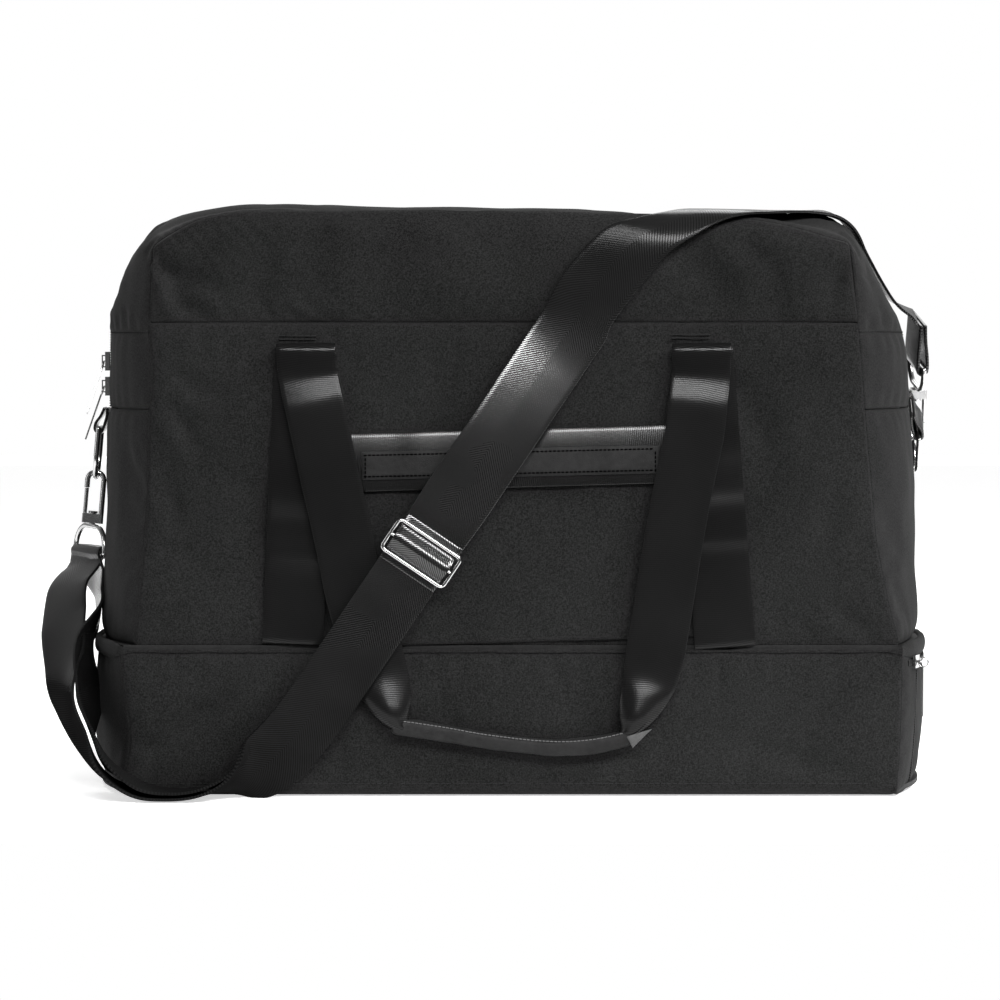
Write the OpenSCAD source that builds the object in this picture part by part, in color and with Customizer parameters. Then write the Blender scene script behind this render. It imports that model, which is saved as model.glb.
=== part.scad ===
// Weekender bag with a shoe compartment, two handles and a clip-on shoulder strap.
// Millimetres. +Z is up, the front faces -Y, and the origin is the middle of the base on the ground.

/* [Main bag] */
// Width across the two bulging ends
body_w = 512; // [480:1:560]
// Width of the flat front and back faces
body_face_w = 450; // [430:1:470]
// Depth from front face to back face
body_d = 230; // [210:1:260]
// Height of the top above the ground
body_h = 368; // [350:1:400]
// Radius of the two top corners, seen from the front
corner_r = 75; // [60:1:80]
// Radius of the front and back top edges
edge_r = 16; // [12:1:24]
// Thickness of the padded canvas walls
wall_t = 3; // [2:0.5:4]
// Thickness of the lining
lining_t = 1; // [0.8:0.1:1.5]
// Height of the seam between the front panel and the yoke above it
yoke_z = 294; // [285:1:305]
// Height of the seam at each end where the zip starts
zip_start_z = 240; // [232:1:244]
// Length of zip above that seam that stays closed while the mouth is open
closed_zip_l = 48; // [46:1:52]

/* [Shoe compartment] */
// Width across the bulging ends of the shoe compartment
base_w = 528; // [515:1:560]
// Width of its flat front and back faces
base_face_w = 484; // [470:1:500]
// Extra depth of the shoe compartment over the main bag
base_extra_d = 6; // [4:1:10]
// Height of the shoe compartment
base_h = 94; // [85:1:100]
// Height of the band that covers the seam above it
band_h = 7; // [5:1:10]
// Thickness of that band
band_t = 1.2; // [0.8:0.1:1.6]
// Thickness of the stiff base board and divider board
board_t = 3; // [2:0.5:4]
// Half of the end flap's width
flap_half_w = 76; // [60:1:80]
// Height of the end flap's top edge
flap_top_z = 80; // [65:1:82]

/* [Front pocket] */
// Height of the pocket's open top edge
pocket_top_z = 229; // [215:1:240]
// Thickness of the pocket panel
pocket_t = 1.5; // [1:0.1:2]
// Length of the PU strip on the pocket hem
patch_l = 180; // [150:1:190]
// Height of the PU strip
patch_h = 19; // [15:1:24]
// Thickness of the PU strip
patch_t = 1.2; // [0.8:0.1:1.6]

/* [Webbing] */
// Width of every webbing
webbing_w = 38; // [34:1:40]
// Thickness of every webbing
webbing_t = 1.8; // [1.4:0.1:2.2]
// Distance of each sewn-down webbing from the middle, at its foot
sewn_foot_x = 134; // [128:1:140]
// Distance of each sewn-down webbing from the middle, at its top
sewn_top_x = 122; // [116:1:128]

/* [Handles] */
// Height at which each handle is sewn to the bag
handle_z = 281; // [272:1:284]
// Height of the handle's grip at rest, at its middle
grip_z = 41; // [38:1:60]
// Length of the PU wrap on the grip
grip_l = 146; // [120:1:160]
// Height of the wrapped grip
grip_h = 14; // [12:1:18]
// Thickness of the wrapped grip
grip_t = 11; // [9:1:12]
// How far each leg leans inwards from its top to its foot
leg_lean_x = 42; // [30:1:50]

/* [Zips] */
// Width of the zip tape that shows
tape_w = 32; // [26:1:36]
// Thickness of the zip tape
tape_t = 1.2; // [0.8:0.1:1.5]
// Width of the zip teeth
teeth_w = 5; // [4:0.5:6]
// Height of the zip teeth above the canvas
teeth_h = 1.2; // [1:0.1:1.6]
// Length of each zip slider
zip_slider_l = 12; // [10:1:13]
// Length of the bar of each zip pull
pull_l = 31; // [24:1:34]
// Width of the bar of each zip pull
pull_w = 5; // [4:0.5:5.5]

/* [Strap hardware] */
// Radius of the D-ring wire
ring_wire_r = 1.6; // [1.3:0.1:1.8]
// Inner width of the D-rings
ring_inner_w = 26.4; // [25:0.1:29]
// Length of the straight sides of the D-rings
ring_leg_l = 17; // [14:1:19]
// Radius of the wire of the snap hooks
hook_wire_r = 1.7; // [1.5:0.1:1.8]
// Radius of the hook's bow, at the wire's middle
hook_bow_r = 5.2; // [5:0.1:5.8]
// Length of the hook from its bow to its swivel block
hook_l = 21.5; // [19:0.5:24]
// Inner width of the swivel eyes
eye_inner_w = 38.6; // [38.4:0.1:40]
// Height of the swivel eyes, at the wire's middle
eye_h = 16; // [15:1:20]
// Outer length of the strap slider's frame, across the strap
slider_frame_l = 48; // [46:1:52]
// Outer width of the strap slider's frame, along the strap
slider_frame_w = 24; // [22:1:28]
// Radius of the slider's frame wire
slider_wire_r = 1.3; // [1.1:0.1:1.5]

/* [Hidden] */
$fn = 64;
clear = 0.3; // running gap between pieces that move past each other
fit = 0.2; // gap round a wire in its loop or bore
big_fn = 240; // facets of the large arcs

base_d = body_d + base_extra_d;
body_plan = [body_w, body_face_w, body_d];
base_plan = [base_w, base_face_w, base_d];
front_y = -body_d / 2;
base_y = -base_d / 2;
floor_z = base_h; // the main compartment stands on the divider
closed_z = zip_start_z + closed_zip_l;
mouth_reach = body_h - closed_z + 1;

canvas = [0.16, 0.16, 0.165];
webbing_colour = [0.22, 0.22, 0.225];
pu_colour = [0.12, 0.12, 0.12];
lining_colour = [0.3, 0.3, 0.31];
tape_colour = [0.08, 0.08, 0.08];
metal = [0.8, 0.8, 0.82];

// ---- Plan shapes -------------------------------------------------------------------------

// Radius of an end that bulges from the face width to the full width over the depth
function end_r(plan) = (pow((plan[0] - plan[1]) / 2, 2) + pow(plan[2] / 2, 2)) / (plan[0] - plan[1]);
// Distance of that end's arc centre from the middle of the bag
function end_cx(plan) = plan[0] / 2 - end_r(plan);
// Half width of a plan at one depth
function end_x(plan, y) = end_cx(plan) + sqrt(pow(end_r(plan), 2) - y * y);

module plan_shape(plan, inset) {
    half_w = plan[0] / 2;
    for (side = [-1, 1]) intersection() {
        translate([side * end_cx(plan), 0]) circle(end_r(plan) - inset, $fn = big_fn);
        translate([side > 0 ? -1 : -half_w, -plan[2] / 2 + inset]) square([half_w + 1, plan[2] - 2 * inset]);
    }
    mid = max(end_cx(plan), 1);
    translate([-mid, -plan[2] / 2 + inset]) square([2 * mid, plan[2] - 2 * inset]);
}

// A piece of one end's skin, between two depths below the outer face, two heights and two y values
module end_skin(side, plan, outer, inner, z0, z1, y0, y1) {
    x0 = plan[1] / 2;
    reach = (plan[0] - plan[1]) / 2 + 4;
    translate([0, 0, z0]) linear_extrude(z1 - z0) intersection() {
        translate([side * end_cx(plan), 0]) difference() {
            circle(end_r(plan) - outer, $fn = big_fn);
            circle(end_r(plan) - inner, $fn = big_fn);
        }
        translate([side > 0 ? x0 : -x0 - reach, y0]) square([reach, y1 - y0]);
    }
}

// Outline seen from the front, with the two round top corners
module front_outline(inset) {
    half_w = body_w / 2;
    translate([-half_w + inset, 0]) square([body_w - 2 * inset, body_h - corner_r]);
    translate([-half_w + corner_r, 0]) square([body_w - 2 * corner_r, body_h - inset]);
    for (side = [-1, 1]) translate([side * (half_w - corner_r), body_h - corner_r]) circle(corner_r - inset);
}

// Outline seen from the end, with the round front and back top edges
module side_outline(inset) {
    half_d = body_d / 2;
    translate([-half_d + inset, 0]) square([body_d - 2 * inset, body_h - edge_r]);
    translate([-half_d + edge_r, 0]) square([body_d - 2 * edge_r, body_h - inset]);
    for (side = [-1, 1]) translate([side * (half_d - edge_r), body_h - edge_r])
        circle(max(edge_r - inset, 1));
}

module body_solid(inset) {
    intersection() {
        linear_extrude(body_h) plan_shape(body_plan, inset);
        rotate([90, 0, 0]) linear_extrude(body_d + 2, center = true) front_outline(inset);
        rotate([90, 0, 90]) linear_extrude(body_w + 2, center = true) side_outline(inset);
    }
}

// ---- Webbing ribbons ---------------------------------------------------------------------

// A route row holds a point, the direction across the webbing, its width and its thickness
function curve_row(a, b, c, d, t) = 0.5 * (2 * b + (c - a) * t
    + (2 * a - 5 * b + 4 * c - d) * t * t + (3 * b - a - 3 * c + d) * t * t * t);
function smooth_route(rows, steps) = concat(
    [for (i = [0 : len(rows) - 2]) for (s = [0 : steps - 1]) curve_row(rows[max(i - 1, 0)],
        rows[i], rows[i + 1], rows[min(i + 2, len(rows) - 1)], s / steps)],
    [rows[len(rows) - 1]]);
function unit(v) = v / norm(v);
function place(row) = [row[0], row[1], row[2]];
function across(row) = [row[3], row[4], row[5]];
function along(rows, i) = unit(place(rows[min(i + 1, len(rows) - 1)]) - place(rows[max(i - 1, 0)]));
function square_to(v, dir) = unit(v - (v * dir) * dir);
function corners(rows, i) = let (
        dir = along(rows, i),
        w = square_to(across(rows[i]), dir),
        n = cross(dir, w),
        p = place(rows[i]),
        a = w * rows[i][6] / 2,
        b = n * rows[i][7] / 2
    ) [p + a + b, p + a - b, p - a - b, p - a + b];
function webbing_rows(rows) = [for (row = rows) concat(row, [webbing_w, webbing_t])];

module ribbon(rows) {
    last = len(rows) - 1;
    polyhedron(
        points = [for (i = [0 : last]) each corners(rows, i)],
        faces = concat(
            [[0, 3, 2, 1], [4 * last, 4 * last + 1, 4 * last + 2, 4 * last + 3]],
            [for (i = [0 : last - 1]) for (k = [0 : 3]) let (m = (k + 1) % 4)
                [4 * i + k, 4 * i + m, 4 * i + 4 + m]],
            [for (i = [0 : last - 1]) for (k = [0 : 3]) let (m = (k + 1) % 4)
                [4 * i + k, 4 * i + 4 + m, 4 * i + 4 + k]]
        ));
}

// ---- Shoe compartment --------------------------------------------------------------------

module base_sole() {
    color(canvas) linear_extrude(wall_t) plan_shape(base_plan, 0);
}

module base_board() {
    color(tape_colour) translate([0, 0, wall_t]) linear_extrude(board_t)
        plan_shape(base_plan, wall_t + clear);
}

module base_wall(side) {
    translate([-base_face_w / 2, side > 0 ? base_d / 2 - wall_t : base_y, wall_t])
        cube([base_face_w, wall_t, base_h - wall_t]);
}

module base_front() { color(canvas) base_wall(-1); }
module base_back() { color(canvas) base_wall(1); }

module base_left_end() {
    color(canvas) end_skin(-1, base_plan, 0, wall_t, wall_t, base_h, base_y, -base_y);
}

flap_gap = teeth_w; // the teeth fill the gap round the flap
flap_foot_z = wall_t + clear;

module base_right_surround() {
    hole_half = flap_half_w + flap_gap;
    color(canvas) difference() {
        end_skin(1, base_plan, 0, wall_t, wall_t, base_h, base_y, -base_y);
        translate([base_face_w / 2 - wall_t, -hole_half, -1])
            cube([base_w, 2 * hole_half, flap_top_z + flap_gap + 1]);
        // the zip's top run goes on past the flap, to park the slider
        translate([base_face_w / 2 - wall_t, -park_half, flap_top_z])
            cube([base_w, 2 * park_half, flap_gap]);
    }
}

module base_flap() {
    color(canvas) end_skin(1, base_plan, 0, wall_t, flap_foot_z, flap_top_z - clear,
        -flap_half_w + clear, flap_half_w - clear);
}

park_half = base_d / 2 - 12; // half length of the zip's top run

module base_zip() {
    color(tape_colour) union() {
        end_skin(1, base_plan, -teeth_h, wall_t / 2, flap_top_z, flap_top_z + flap_gap, -park_half, park_half);
        for (side = [-1, 1]) end_skin(1, base_plan, -teeth_h, wall_t / 2, flap_foot_z, flap_top_z + flap_gap,
            side > 0 ? flap_half_w : -flap_half_w - flap_gap, side > 0 ? flap_half_w + flap_gap : -flap_half_w);
    }
}

// The band stands proud of the walls, over the seam between the two compartments
module base_seam_band() {
    color(canvas) translate([0, 0, base_h - band_h]) linear_extrude(band_h + 1) difference() {
        offset_plan(base_plan, band_t);
        plan_shape(base_plan, 0);
    }
}

module offset_plan(plan, out) {
    half_w = plan[0] / 2;
    for (side = [-1, 1]) intersection() {
        translate([side * end_cx(plan), 0]) circle(end_r(plan) + out, $fn = big_fn);
        translate([side > 0 ? -1 : -half_w - out, -plan[2] / 2 - out])
            square([half_w + out + 1, plan[2] + 2 * out]);
    }
    mid = max(end_cx(plan), 1);
    translate([-mid, -plan[2] / 2 - out]) square([2 * mid, plan[2] + 2 * out]);
}

module divider_board() {
    color(tape_colour) translate([0, 0, base_h - board_t]) linear_extrude(board_t)
        plan_shape(base_plan, wall_t + clear / 3);
}

// ---- Main compartment --------------------------------------------------------------------

module face_panel(side) {
    translate([-body_face_w / 2, side > 0 ? body_d / 2 - wall_t : front_y, floor_z])
        cube([body_face_w, wall_t, yoke_z - clear - floor_z]);
}

module front_panel() { color(canvas) face_panel(-1); }
module back_panel() { color(canvas) face_panel(1); }

module gusset(side) {
    end_skin(side, body_plan, 0, wall_t, floor_z, zip_start_z, front_y, -front_y);
}

module left_gusset() { color(canvas) gusset(-1); }
module right_gusset() { color(canvas) gusset(1); }

// The two strips beside the closed stretch of zip at one end
module boxing(side) {
    end_skin(side, body_plan, 0, wall_t, zip_start_z, closed_z, front_y, -tape_w / 2);
    end_skin(side, body_plan, 0, wall_t, zip_start_z, closed_z, tape_w / 2, -front_y);
}

module left_boxing() { color(canvas) boxing(-1); }
module right_boxing() { color(canvas) boxing(1); }

module zip_end(side) {
    end_skin(side, body_plan, tape_t / 2, tape_t * 1.5, zip_start_z, closed_z, -tape_w / 2, tape_w / 2);
    end_skin(side, body_plan, -teeth_h, tape_t / 2, zip_start_z, closed_z, -teeth_w / 2, teeth_w / 2);
}

module left_zip_end() { color(tape_colour) zip_end(-1); }
module right_zip_end() { color(tape_colour) zip_end(1); }

module lining() {
    outer = wall_t + clear;
    color(lining_colour) translate([0, 0, floor_z + clear]) difference() {
        linear_extrude(closed_z - floor_z - 1) plan_shape(body_plan, outer);
        translate([0, 0, lining_t]) linear_extrude(body_h) plan_shape(body_plan, outer + lining_t);
    }
}

// ---- Front pocket and sewn-down webbing --------------------------------------------------

// Middle of a sewn-down webbing at one height
function sewn_x(z) = sewn_foot_x + (sewn_top_x - sewn_foot_x) * (z - sewn_foot_z) / (handle_z - sewn_foot_z);
sewn_foot_z = base_h + 2;

module sewn_webbing(side) {
    translate([0, front_y, 0]) rotate([90, 0, 0]) linear_extrude(webbing_t) polygon([
        [side * sewn_foot_x - webbing_w / 2, sewn_foot_z], [side * sewn_foot_x + webbing_w / 2, sewn_foot_z],
        [side * sewn_x(handle_z - 1) + webbing_w / 2, handle_z - 1],
        [side * sewn_x(handle_z - 1) - webbing_w / 2, handle_z - 1]]);
}

module sewn_webbing_front() {
    color(webbing_colour) for (side = [-1, 1]) sewn_webbing(side);
}

module sewn_webbing_rear() {
    color(webbing_colour) rotate([0, 0, 180]) for (side = [-1, 1]) sewn_webbing(side);
}

module slip_pocket() {
    foot_x = sewn_foot_x - webbing_w / 2;
    top_x = sewn_x(pocket_top_z) - webbing_w / 2;
    color(canvas) translate([0, front_y, 0]) rotate([90, 0, 0]) linear_extrude(pocket_t) polygon([
        [-foot_x, sewn_foot_z], [foot_x, sewn_foot_z], [top_x, pocket_top_z], [-top_x, pocket_top_z]]);
}

hem_foot_z = pocket_top_z - webbing_w;

module pocket_hem() {
    foot_x = sewn_x(hem_foot_z) - webbing_w / 2;
    top_x = sewn_x(pocket_top_z) - webbing_w / 2;
    color(webbing_colour) translate([0, front_y - pocket_t, 0]) rotate([90, 0, 0]) linear_extrude(webbing_t)
        polygon([[-foot_x, hem_foot_z], [foot_x, hem_foot_z], [top_x, pocket_top_z], [-top_x, pocket_top_z]]);
}

module pocket_patch() {
    color(pu_colour) translate([-patch_l / 2, front_y - pocket_t - webbing_t - patch_t,
        pocket_top_z - webbing_w / 2 - patch_h * 0.7]) cube([patch_l, patch_t, patch_h]);
}

// ---- Mouth: yoke, boxing and zip of the front half; the rear half is its mirror image ------

module mouth_shell() {
    difference() {
        body_solid(0);
        body_solid(wall_t);
    }
}

module yoke_space() {
    translate([-body_face_w / 2, front_y - 1, yoke_z])
        cube([body_face_w, edge_r + 1, body_h - yoke_z + 1]);
}

module mouth_yoke() {
    intersection() {
        mouth_shell();
        yoke_space();
    }
}

module mouth_boxing() {
    difference() {
        intersection() {
            mouth_shell();
            translate([-body_w / 2 - 1, front_y - 1, closed_z + clear])
                cube([body_w + 2, body_d / 2 + 1 - tape_w / 2, mouth_reach]);
        }
        translate([-body_face_w / 2, front_y - 1, 0]) cube([body_face_w, edge_r + 1, body_h + 1]);
    }
}

// One tape and its row of teeth, from one end's closed stretch over the top to the other
module mouth_zip_half() {
    module strip(outer, inner, y0) {
        intersection() {
            difference() {
                body_solid(outer);
                body_solid(inner);
            }
            translate([-body_w / 2 - 2, y0, closed_z + clear]) cube([body_w + 4, -y0 - fit, mouth_reach]);
        }
    }
    strip(tape_t / 2, tape_t * 1.5, -tape_w / 2);
    strip(-teeth_h, tape_t / 2, -teeth_w / 2);
}

module front_yoke() { color(canvas) mouth_yoke(); }
module front_boxing() { color(canvas) mouth_boxing(); }
module front_zip_half() { color(tape_colour) mouth_zip_half(); }
module rear_yoke() { color(canvas) mirror([0, 1, 0]) mouth_yoke(); }
module rear_boxing() { color(canvas) mirror([0, 1, 0]) mouth_boxing(); }
module rear_zip_half() { color(tape_colour) mirror([0, 1, 0]) mouth_zip_half(); }

// ---- Zip sliders and pulls -----------------------------------------------------------------

plate_t = 1.6; // slider plate
lip_t = 1.2; // slider lip beside the teeth
bridge_gap = 1.6; // room under the slider's bridge for the pull
bridge_t = 0.8; // the bridge
bridge_x = clear + plate_t + bridge_gap + bridge_t / 2; // middle of the bridge above the teeth
link_wire_r = 0.5; // wire of the pull's link
link_r = 3; // radius of the pull's link
pull_t = 1; // bar of the pull
pivot_x = clear + plate_t + bridge_gap / 2; // pull's pivot above the teeth

// Drawn with the teeth's outer face at x = 0, outwards along +X and the zip along Z
module zip_slider_shape() {
    lip_y = teeth_w / 2 + clear;
    half_l = zip_slider_l / 2;
    width = 2 * (lip_y + lip_t);
    lip_h = teeth_h + 0.1;
    union() {
        translate([clear, -width / 2, -half_l]) cube([plate_t, width, zip_slider_l]);
        for (side = [-1, 1]) translate([clear - teeth_h, side > 0 ? lip_y : -lip_y - lip_t, -half_l])
            cube([lip_h, lip_t, zip_slider_l]);
        for (end = [-1, 1]) translate([clear + plate_t - 0.1, -bridge_t / 2, end * 3.6 - 0.4])
            cube([bridge_gap + bridge_t, bridge_t, 0.8]);
        translate([bridge_x - bridge_t / 2, -bridge_t / 2, -4]) cube([bridge_t, bridge_t, 8]);
    }
}

module pull_link() {
    rotate_extrude() translate([link_r, 0]) circle(link_wire_r, $fn = 24);
}

module pull_bar(top) {
    translate([-pull_t / 2, -pull_w / 2, top - pull_l]) cube([pull_t, pull_w, pull_l]);
}

// Hangs from its pivot at the origin: a round link, then a long flat bar
module zip_pull_shape() {
    union() {
        translate([0, 0, -link_r]) rotate([0, 90, 0]) pull_link();
        pull_bar(-2 * link_r + link_wire_r);
    }
}

left_teeth_x = -body_w / 2 - teeth_h;
upper_slider_z = closed_z - 19;
lower_slider_z = upper_slider_z - zip_slider_l - 4;

module upper_zip_slider() {
    color(metal) translate([left_teeth_x, 0, upper_slider_z]) rotate([0, 0, 180]) zip_slider_shape();
}

module lower_zip_slider() {
    color(metal) translate([left_teeth_x, 0, lower_slider_z]) rotate([0, 0, 180]) zip_slider_shape();
}

// The pulls lean outwards and to either side, so that they hang past each other
module left_zip_pull(z, out, aside) {
    translate([left_teeth_x - pivot_x, 0, z]) rotate([0, out, 0]) rotate([aside, 0, 0])
        zip_pull_shape();
}

module upper_zip_pull() { color(metal) left_zip_pull(upper_slider_z, 17, -20); }
module lower_zip_pull() { color(metal) left_zip_pull(lower_slider_z, 20, 10); }

base_zip_z = flap_top_z + flap_gap / 2;
park_clear = 3; // from the parked slider to the zip's run down the flap's side
park_y = flap_half_w + flap_gap + zip_slider_l / 2 + park_clear;
base_park_a = -asin(park_y / end_r(base_plan));
base_slider_r = end_r(base_plan) + teeth_h;
link_out = 1.7; // middle of the link, outwards from the bridge
link_down = 0.6; // and below it

module base_zip_place() {
    translate([end_cx(base_plan), 0, base_zip_z]) rotate([0, 0, base_park_a])
        translate([base_slider_r, 0, 0]) children();
}

module base_zip_slider() {
    color(metal) base_zip_place() rotate([90, 0, 0]) zip_slider_shape();
}

// The link goes round the slider's level bridge, and the bar hangs from the link
module base_zip_pull() {
    color(metal) base_zip_place() translate([bridge_x + link_out, 0, -link_down]) union() {
        rotate([90, 0, 0]) pull_link();
        pull_bar(link_wire_r - link_r);
    }
}

// ---- Handles -------------------------------------------------------------------------------

core_w = grip_h - 5; // folded webbing inside the wrap
core_t = grip_t - 5;
hang_y = front_y - webbing_t * 1.5 - 0.4; // middle of the webbing where it is sewn on
rest_y = base_y - band_t - 1 - grip_t / 2; // middle of the grip, against the shoe compartment
leg_foot_z = grip_z + 22;
leg_rest_y = base_y - band_t - 4.4;
// middle of a leg where it lies over the pocket's patch
patch_leg_y = front_y - pocket_t - webbing_t - patch_t - clear - webbing_t / 2 - 0.2;
grip_tilt = 3.5; // the grip hangs lower at its right end
grip_sag = 7; // its middle hangs below its ends
leg_shift = 4; // the whole loop hangs a little to the right

function leg_rows(side) = let (
        foot_x = side * (handle_foot_x) + leg_shift,
        dir = unit([foot_x - side * sewn_top_x, 0, leg_foot_z - handle_z]),
        w = [-dir[2], 0, dir[0]]
    ) [
    [side * sewn_top_x * 0.94 + foot_x * 0.06, hang_y - 0.9, handle_z * 0.94 + leg_foot_z * 0.06,
        w[0], 0, w[2], webbing_w, webbing_t],
    [side * sewn_top_x * 0.75 + foot_x * 0.25, patch_leg_y, handle_z * 0.75 + leg_foot_z * 0.25,
        w[0], 0, w[2], webbing_w, webbing_t],
    [side * sewn_top_x * 0.25 + foot_x * 0.75, leg_rest_y + 0.6, handle_z * 0.25 + leg_foot_z * 0.75,
        w[0], 0, w[2], webbing_w, webbing_t],
    [foot_x, leg_rest_y, leg_foot_z, w[0], 0, w[2], webbing_w, webbing_t],
    [foot_x - side * 2, (leg_rest_y + rest_y) / 2, leg_foot_z - 12, w[0], 0, w[2] + side * 0.4,
        webbing_w * 0.66, webbing_t * 1.8]];
handle_foot_x = sewn_top_x - leg_lean_x;

function grip_rows(w, t) = [for (x = [-1, -0.5, 0, 0.5, 1])
    [x * grip_l / 2 + leg_shift / 2, rest_y, grip_z - x * grip_tilt - grip_sag * (1 - x * x), 0, 0, 1, w, t]];

function reversed(rows) = [for (i = [len(rows) - 1 : -1 : 0]) rows[i]];
function turned(row) = [row[0], row[1], row[2], -row[3], -row[4], -row[5], row[6], row[7]];

// The across direction turns from level at the left leg, to upright in the grip, to level again
function handle_rows() = concat(
    [for (row = leg_rows(-1)) row],
    [for (row = grip_rows(core_w, core_t)) row],
    [for (row = reversed(leg_rows(1))) turned(row)]);

// The leg starts at the level fold on the sewn webbing's end, which is also its hinge
function fold_rows(side) = [for (drop = [0, 4])
    [side * sewn_top_x, hang_y - drop * 0.08, handle_z - drop, -side, 0, 0, webbing_w, webbing_t]];
function handle_route(spare) = [for (row = concat(fold_rows(-1),
        smooth_route(handle_rows(), 2), reversed(fold_rows(1))))
    [row[0], row[1], row[2], row[3], row[4], row[5], row[6] + 2 * spare, row[7] + 2 * spare]];

module handle_webbing() {
    ribbon(handle_route(0));
}

module handle_grip() {
    difference() {
        ribbon(grip_rows(grip_h, grip_t));
        ribbon(handle_route(fit));
    }
}

module handle_front_webbing() { color(webbing_colour) handle_webbing(); }
module handle_front_grip() { color(pu_colour) handle_grip(); }
module handle_rear_webbing() { color(webbing_colour) rotate([0, 0, 180]) handle_webbing(); }
module handle_rear_grip() { color(pu_colour) rotate([0, 0, 180]) handle_grip(); }

// ---- Strap hardware, drawn hanging from the middle of the D-ring's straight bar --------------

ring_half = ring_inner_w / 2 + ring_wire_r;
ring_drop = ring_leg_l + ring_half; // from the bar to the middle of the bow's wire
tab_w = ring_inner_w - 3.4;
tab_bore_r = ring_wire_r + fit;
tab_loop_r = tab_bore_r + webbing_t;
tab_rise = 16; // from the bar up to the tab's sewn end

module wire_rod(from, to, r) {
    v = to - from;
    translate(from) rotate([0, acos(v[2] / norm(v)), atan2(v[1], v[0])]) cylinder(h = norm(v), r = r, $fn = 32);
}

module half_ring(bow_r, wire_r) {
    rotate([0, 90, 0]) rotate([0, 0, -90]) rotate_extrude(angle = 180, $fn = 48) translate([bow_r, 0])
        circle(wire_r, $fn = 32);
}

module d_ring_shape() {
    union() {
        wire_rod([0, -ring_half, 0], [0, ring_half, 0], ring_wire_r);
        for (side = [-1, 1]) {
            translate([0, side * ring_half, 0]) sphere(ring_wire_r, $fn = 32);
            wire_rod([0, side * ring_half, -ring_leg_l], [0, side * ring_half, 0], ring_wire_r);
        }
        translate([0, 0, -ring_leg_l]) half_ring(ring_half, ring_wire_r);
    }
}

// Webbing loop round the D-ring's bar; its back lies against the gusset at +X
module ring_tab_shape(back_x, rise) {
    difference() {
        union() {
            translate([back_x - 2 * webbing_t, -tab_w / 2, 0]) cube([2 * webbing_t, tab_w, rise]);
            rotate([90, 0, 0]) cylinder(h = tab_w, r = tab_loop_r, center = true);
        }
        rotate([90, 0, 0]) cylinder(h = tab_w + 2, r = tab_bore_r, center = true);
    }
}

bow_z = -ring_drop + ring_wire_r + clear - (hook_bow_r - hook_wire_r);
block_z = bow_z - hook_l; // top of the swivel block
block_h = 6;
block_t = 7;
block_r = hook_bow_r + hook_wire_r;
nose_z = bow_z - 5;
stem_r = 1.8;

module hook_shape() {
    difference() {
        union() {
            translate([0, 0, bow_z]) rotate([0, 0, 90]) mirror([0, 0, 1]) half_ring(hook_bow_r, hook_wire_r);
            wire_rod([hook_bow_r, 0, block_z - 1], [hook_bow_r, 0, bow_z], hook_wire_r);
            wire_rod([-hook_bow_r, 0, nose_z], [-hook_bow_r, 0, bow_z], hook_wire_r);
            intersection() {
                translate([0, 0, block_z - block_h]) cylinder(h = block_h, r = block_r);
                translate([-block_r, -block_t / 2, block_z - block_h]) cube([2 * block_r, block_t, block_h]);
            }
        }
        translate([0, 0, block_z - block_h - 1]) cylinder(h = block_h + 2, r = stem_r + fit);
        // slot for the gate's foot
        translate([-hook_bow_r - 2.2, -gate_slot / 2, block_z - 3]) cube([4.4, gate_slot, 4]);
    }
}

gate_r = 1.3;
gate_slot = 2 * gate_r + 2 * fit;

// The gate stands in its slot and closes the gap under the nose
module hook_gate_shape() {
    union() {
        wire_rod([-hook_bow_r, 0, block_z - 1], [-hook_bow_r, 0, nose_z - clear], gate_r);
        translate([-hook_bow_r, 0, block_z - 1]) sphere(gate_r, $fn = 32);
    }
}

eye_wire_r = 1.7;
eye_half = eye_inner_w / 2 + eye_wire_r;
eye_top_z = block_z - block_h - clear - eye_wire_r;
eye_bar_z = eye_top_z - eye_h;
eye_bend_r = eye_h - 2;

module swivel_eye_shape(turn) {
    rotate([0, 0, turn]) union() {
        translate([0, 0, block_z + clear]) cylinder(h = 1.4, r = 3);
        translate([0, 0, eye_top_z]) cylinder(h = block_z + clear - eye_top_z + 0.2, r = stem_r);
        wire_rod([0, eye_bend_r - eye_half, eye_top_z], [0, eye_half - eye_bend_r, eye_top_z], eye_wire_r);
        for (side = [-1, 1]) {
            translate([0, side * (eye_half - eye_bend_r), eye_top_z - eye_bend_r]) rotate([0, 90, 0])
                rotate([0, 0, side > 0 ? 90 : 180]) rotate_extrude(angle = 90, $fn = 48)
                translate([eye_bend_r, 0]) circle(eye_wire_r, $fn = 32);
            wire_rod([0, side * eye_half, eye_bar_z], [0, side * eye_half, eye_top_z - eye_bend_r], eye_wire_r);
            translate([0, side * eye_half, eye_bar_z]) sphere(eye_wire_r, $fn = 32);
        }
        wire_rod([0, -eye_half, eye_bar_z], [0, eye_half, eye_bar_z], eye_wire_r);
    }
}

left_ring_x = -body_w / 2 - 6.6;
ring_bar_z = zip_start_z - 14;
left_lean = 5; // the hook chain leans outwards, pulled by the strap
left_eye_turn = 30; // the eye's bar turns towards the strap

module left_chain() {
    translate([left_ring_x, 0, ring_bar_z]) rotate([0, left_lean, 0]) children();
}

module left_ring_tab() {
    color(webbing_colour) translate([left_ring_x, 0, ring_bar_z]) ring_tab_shape(6.6 - clear,
        zip_start_z - clear - ring_bar_z);
}

module left_d_ring() { color(metal) left_chain() d_ring_shape(); }
module left_hook() { color(metal) left_chain() hook_shape(); }
module left_hook_gate() { color(metal) left_chain() hook_gate_shape(); }
module left_swivel_eye() { color(metal) left_chain() swivel_eye_shape(left_eye_turn); }

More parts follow.
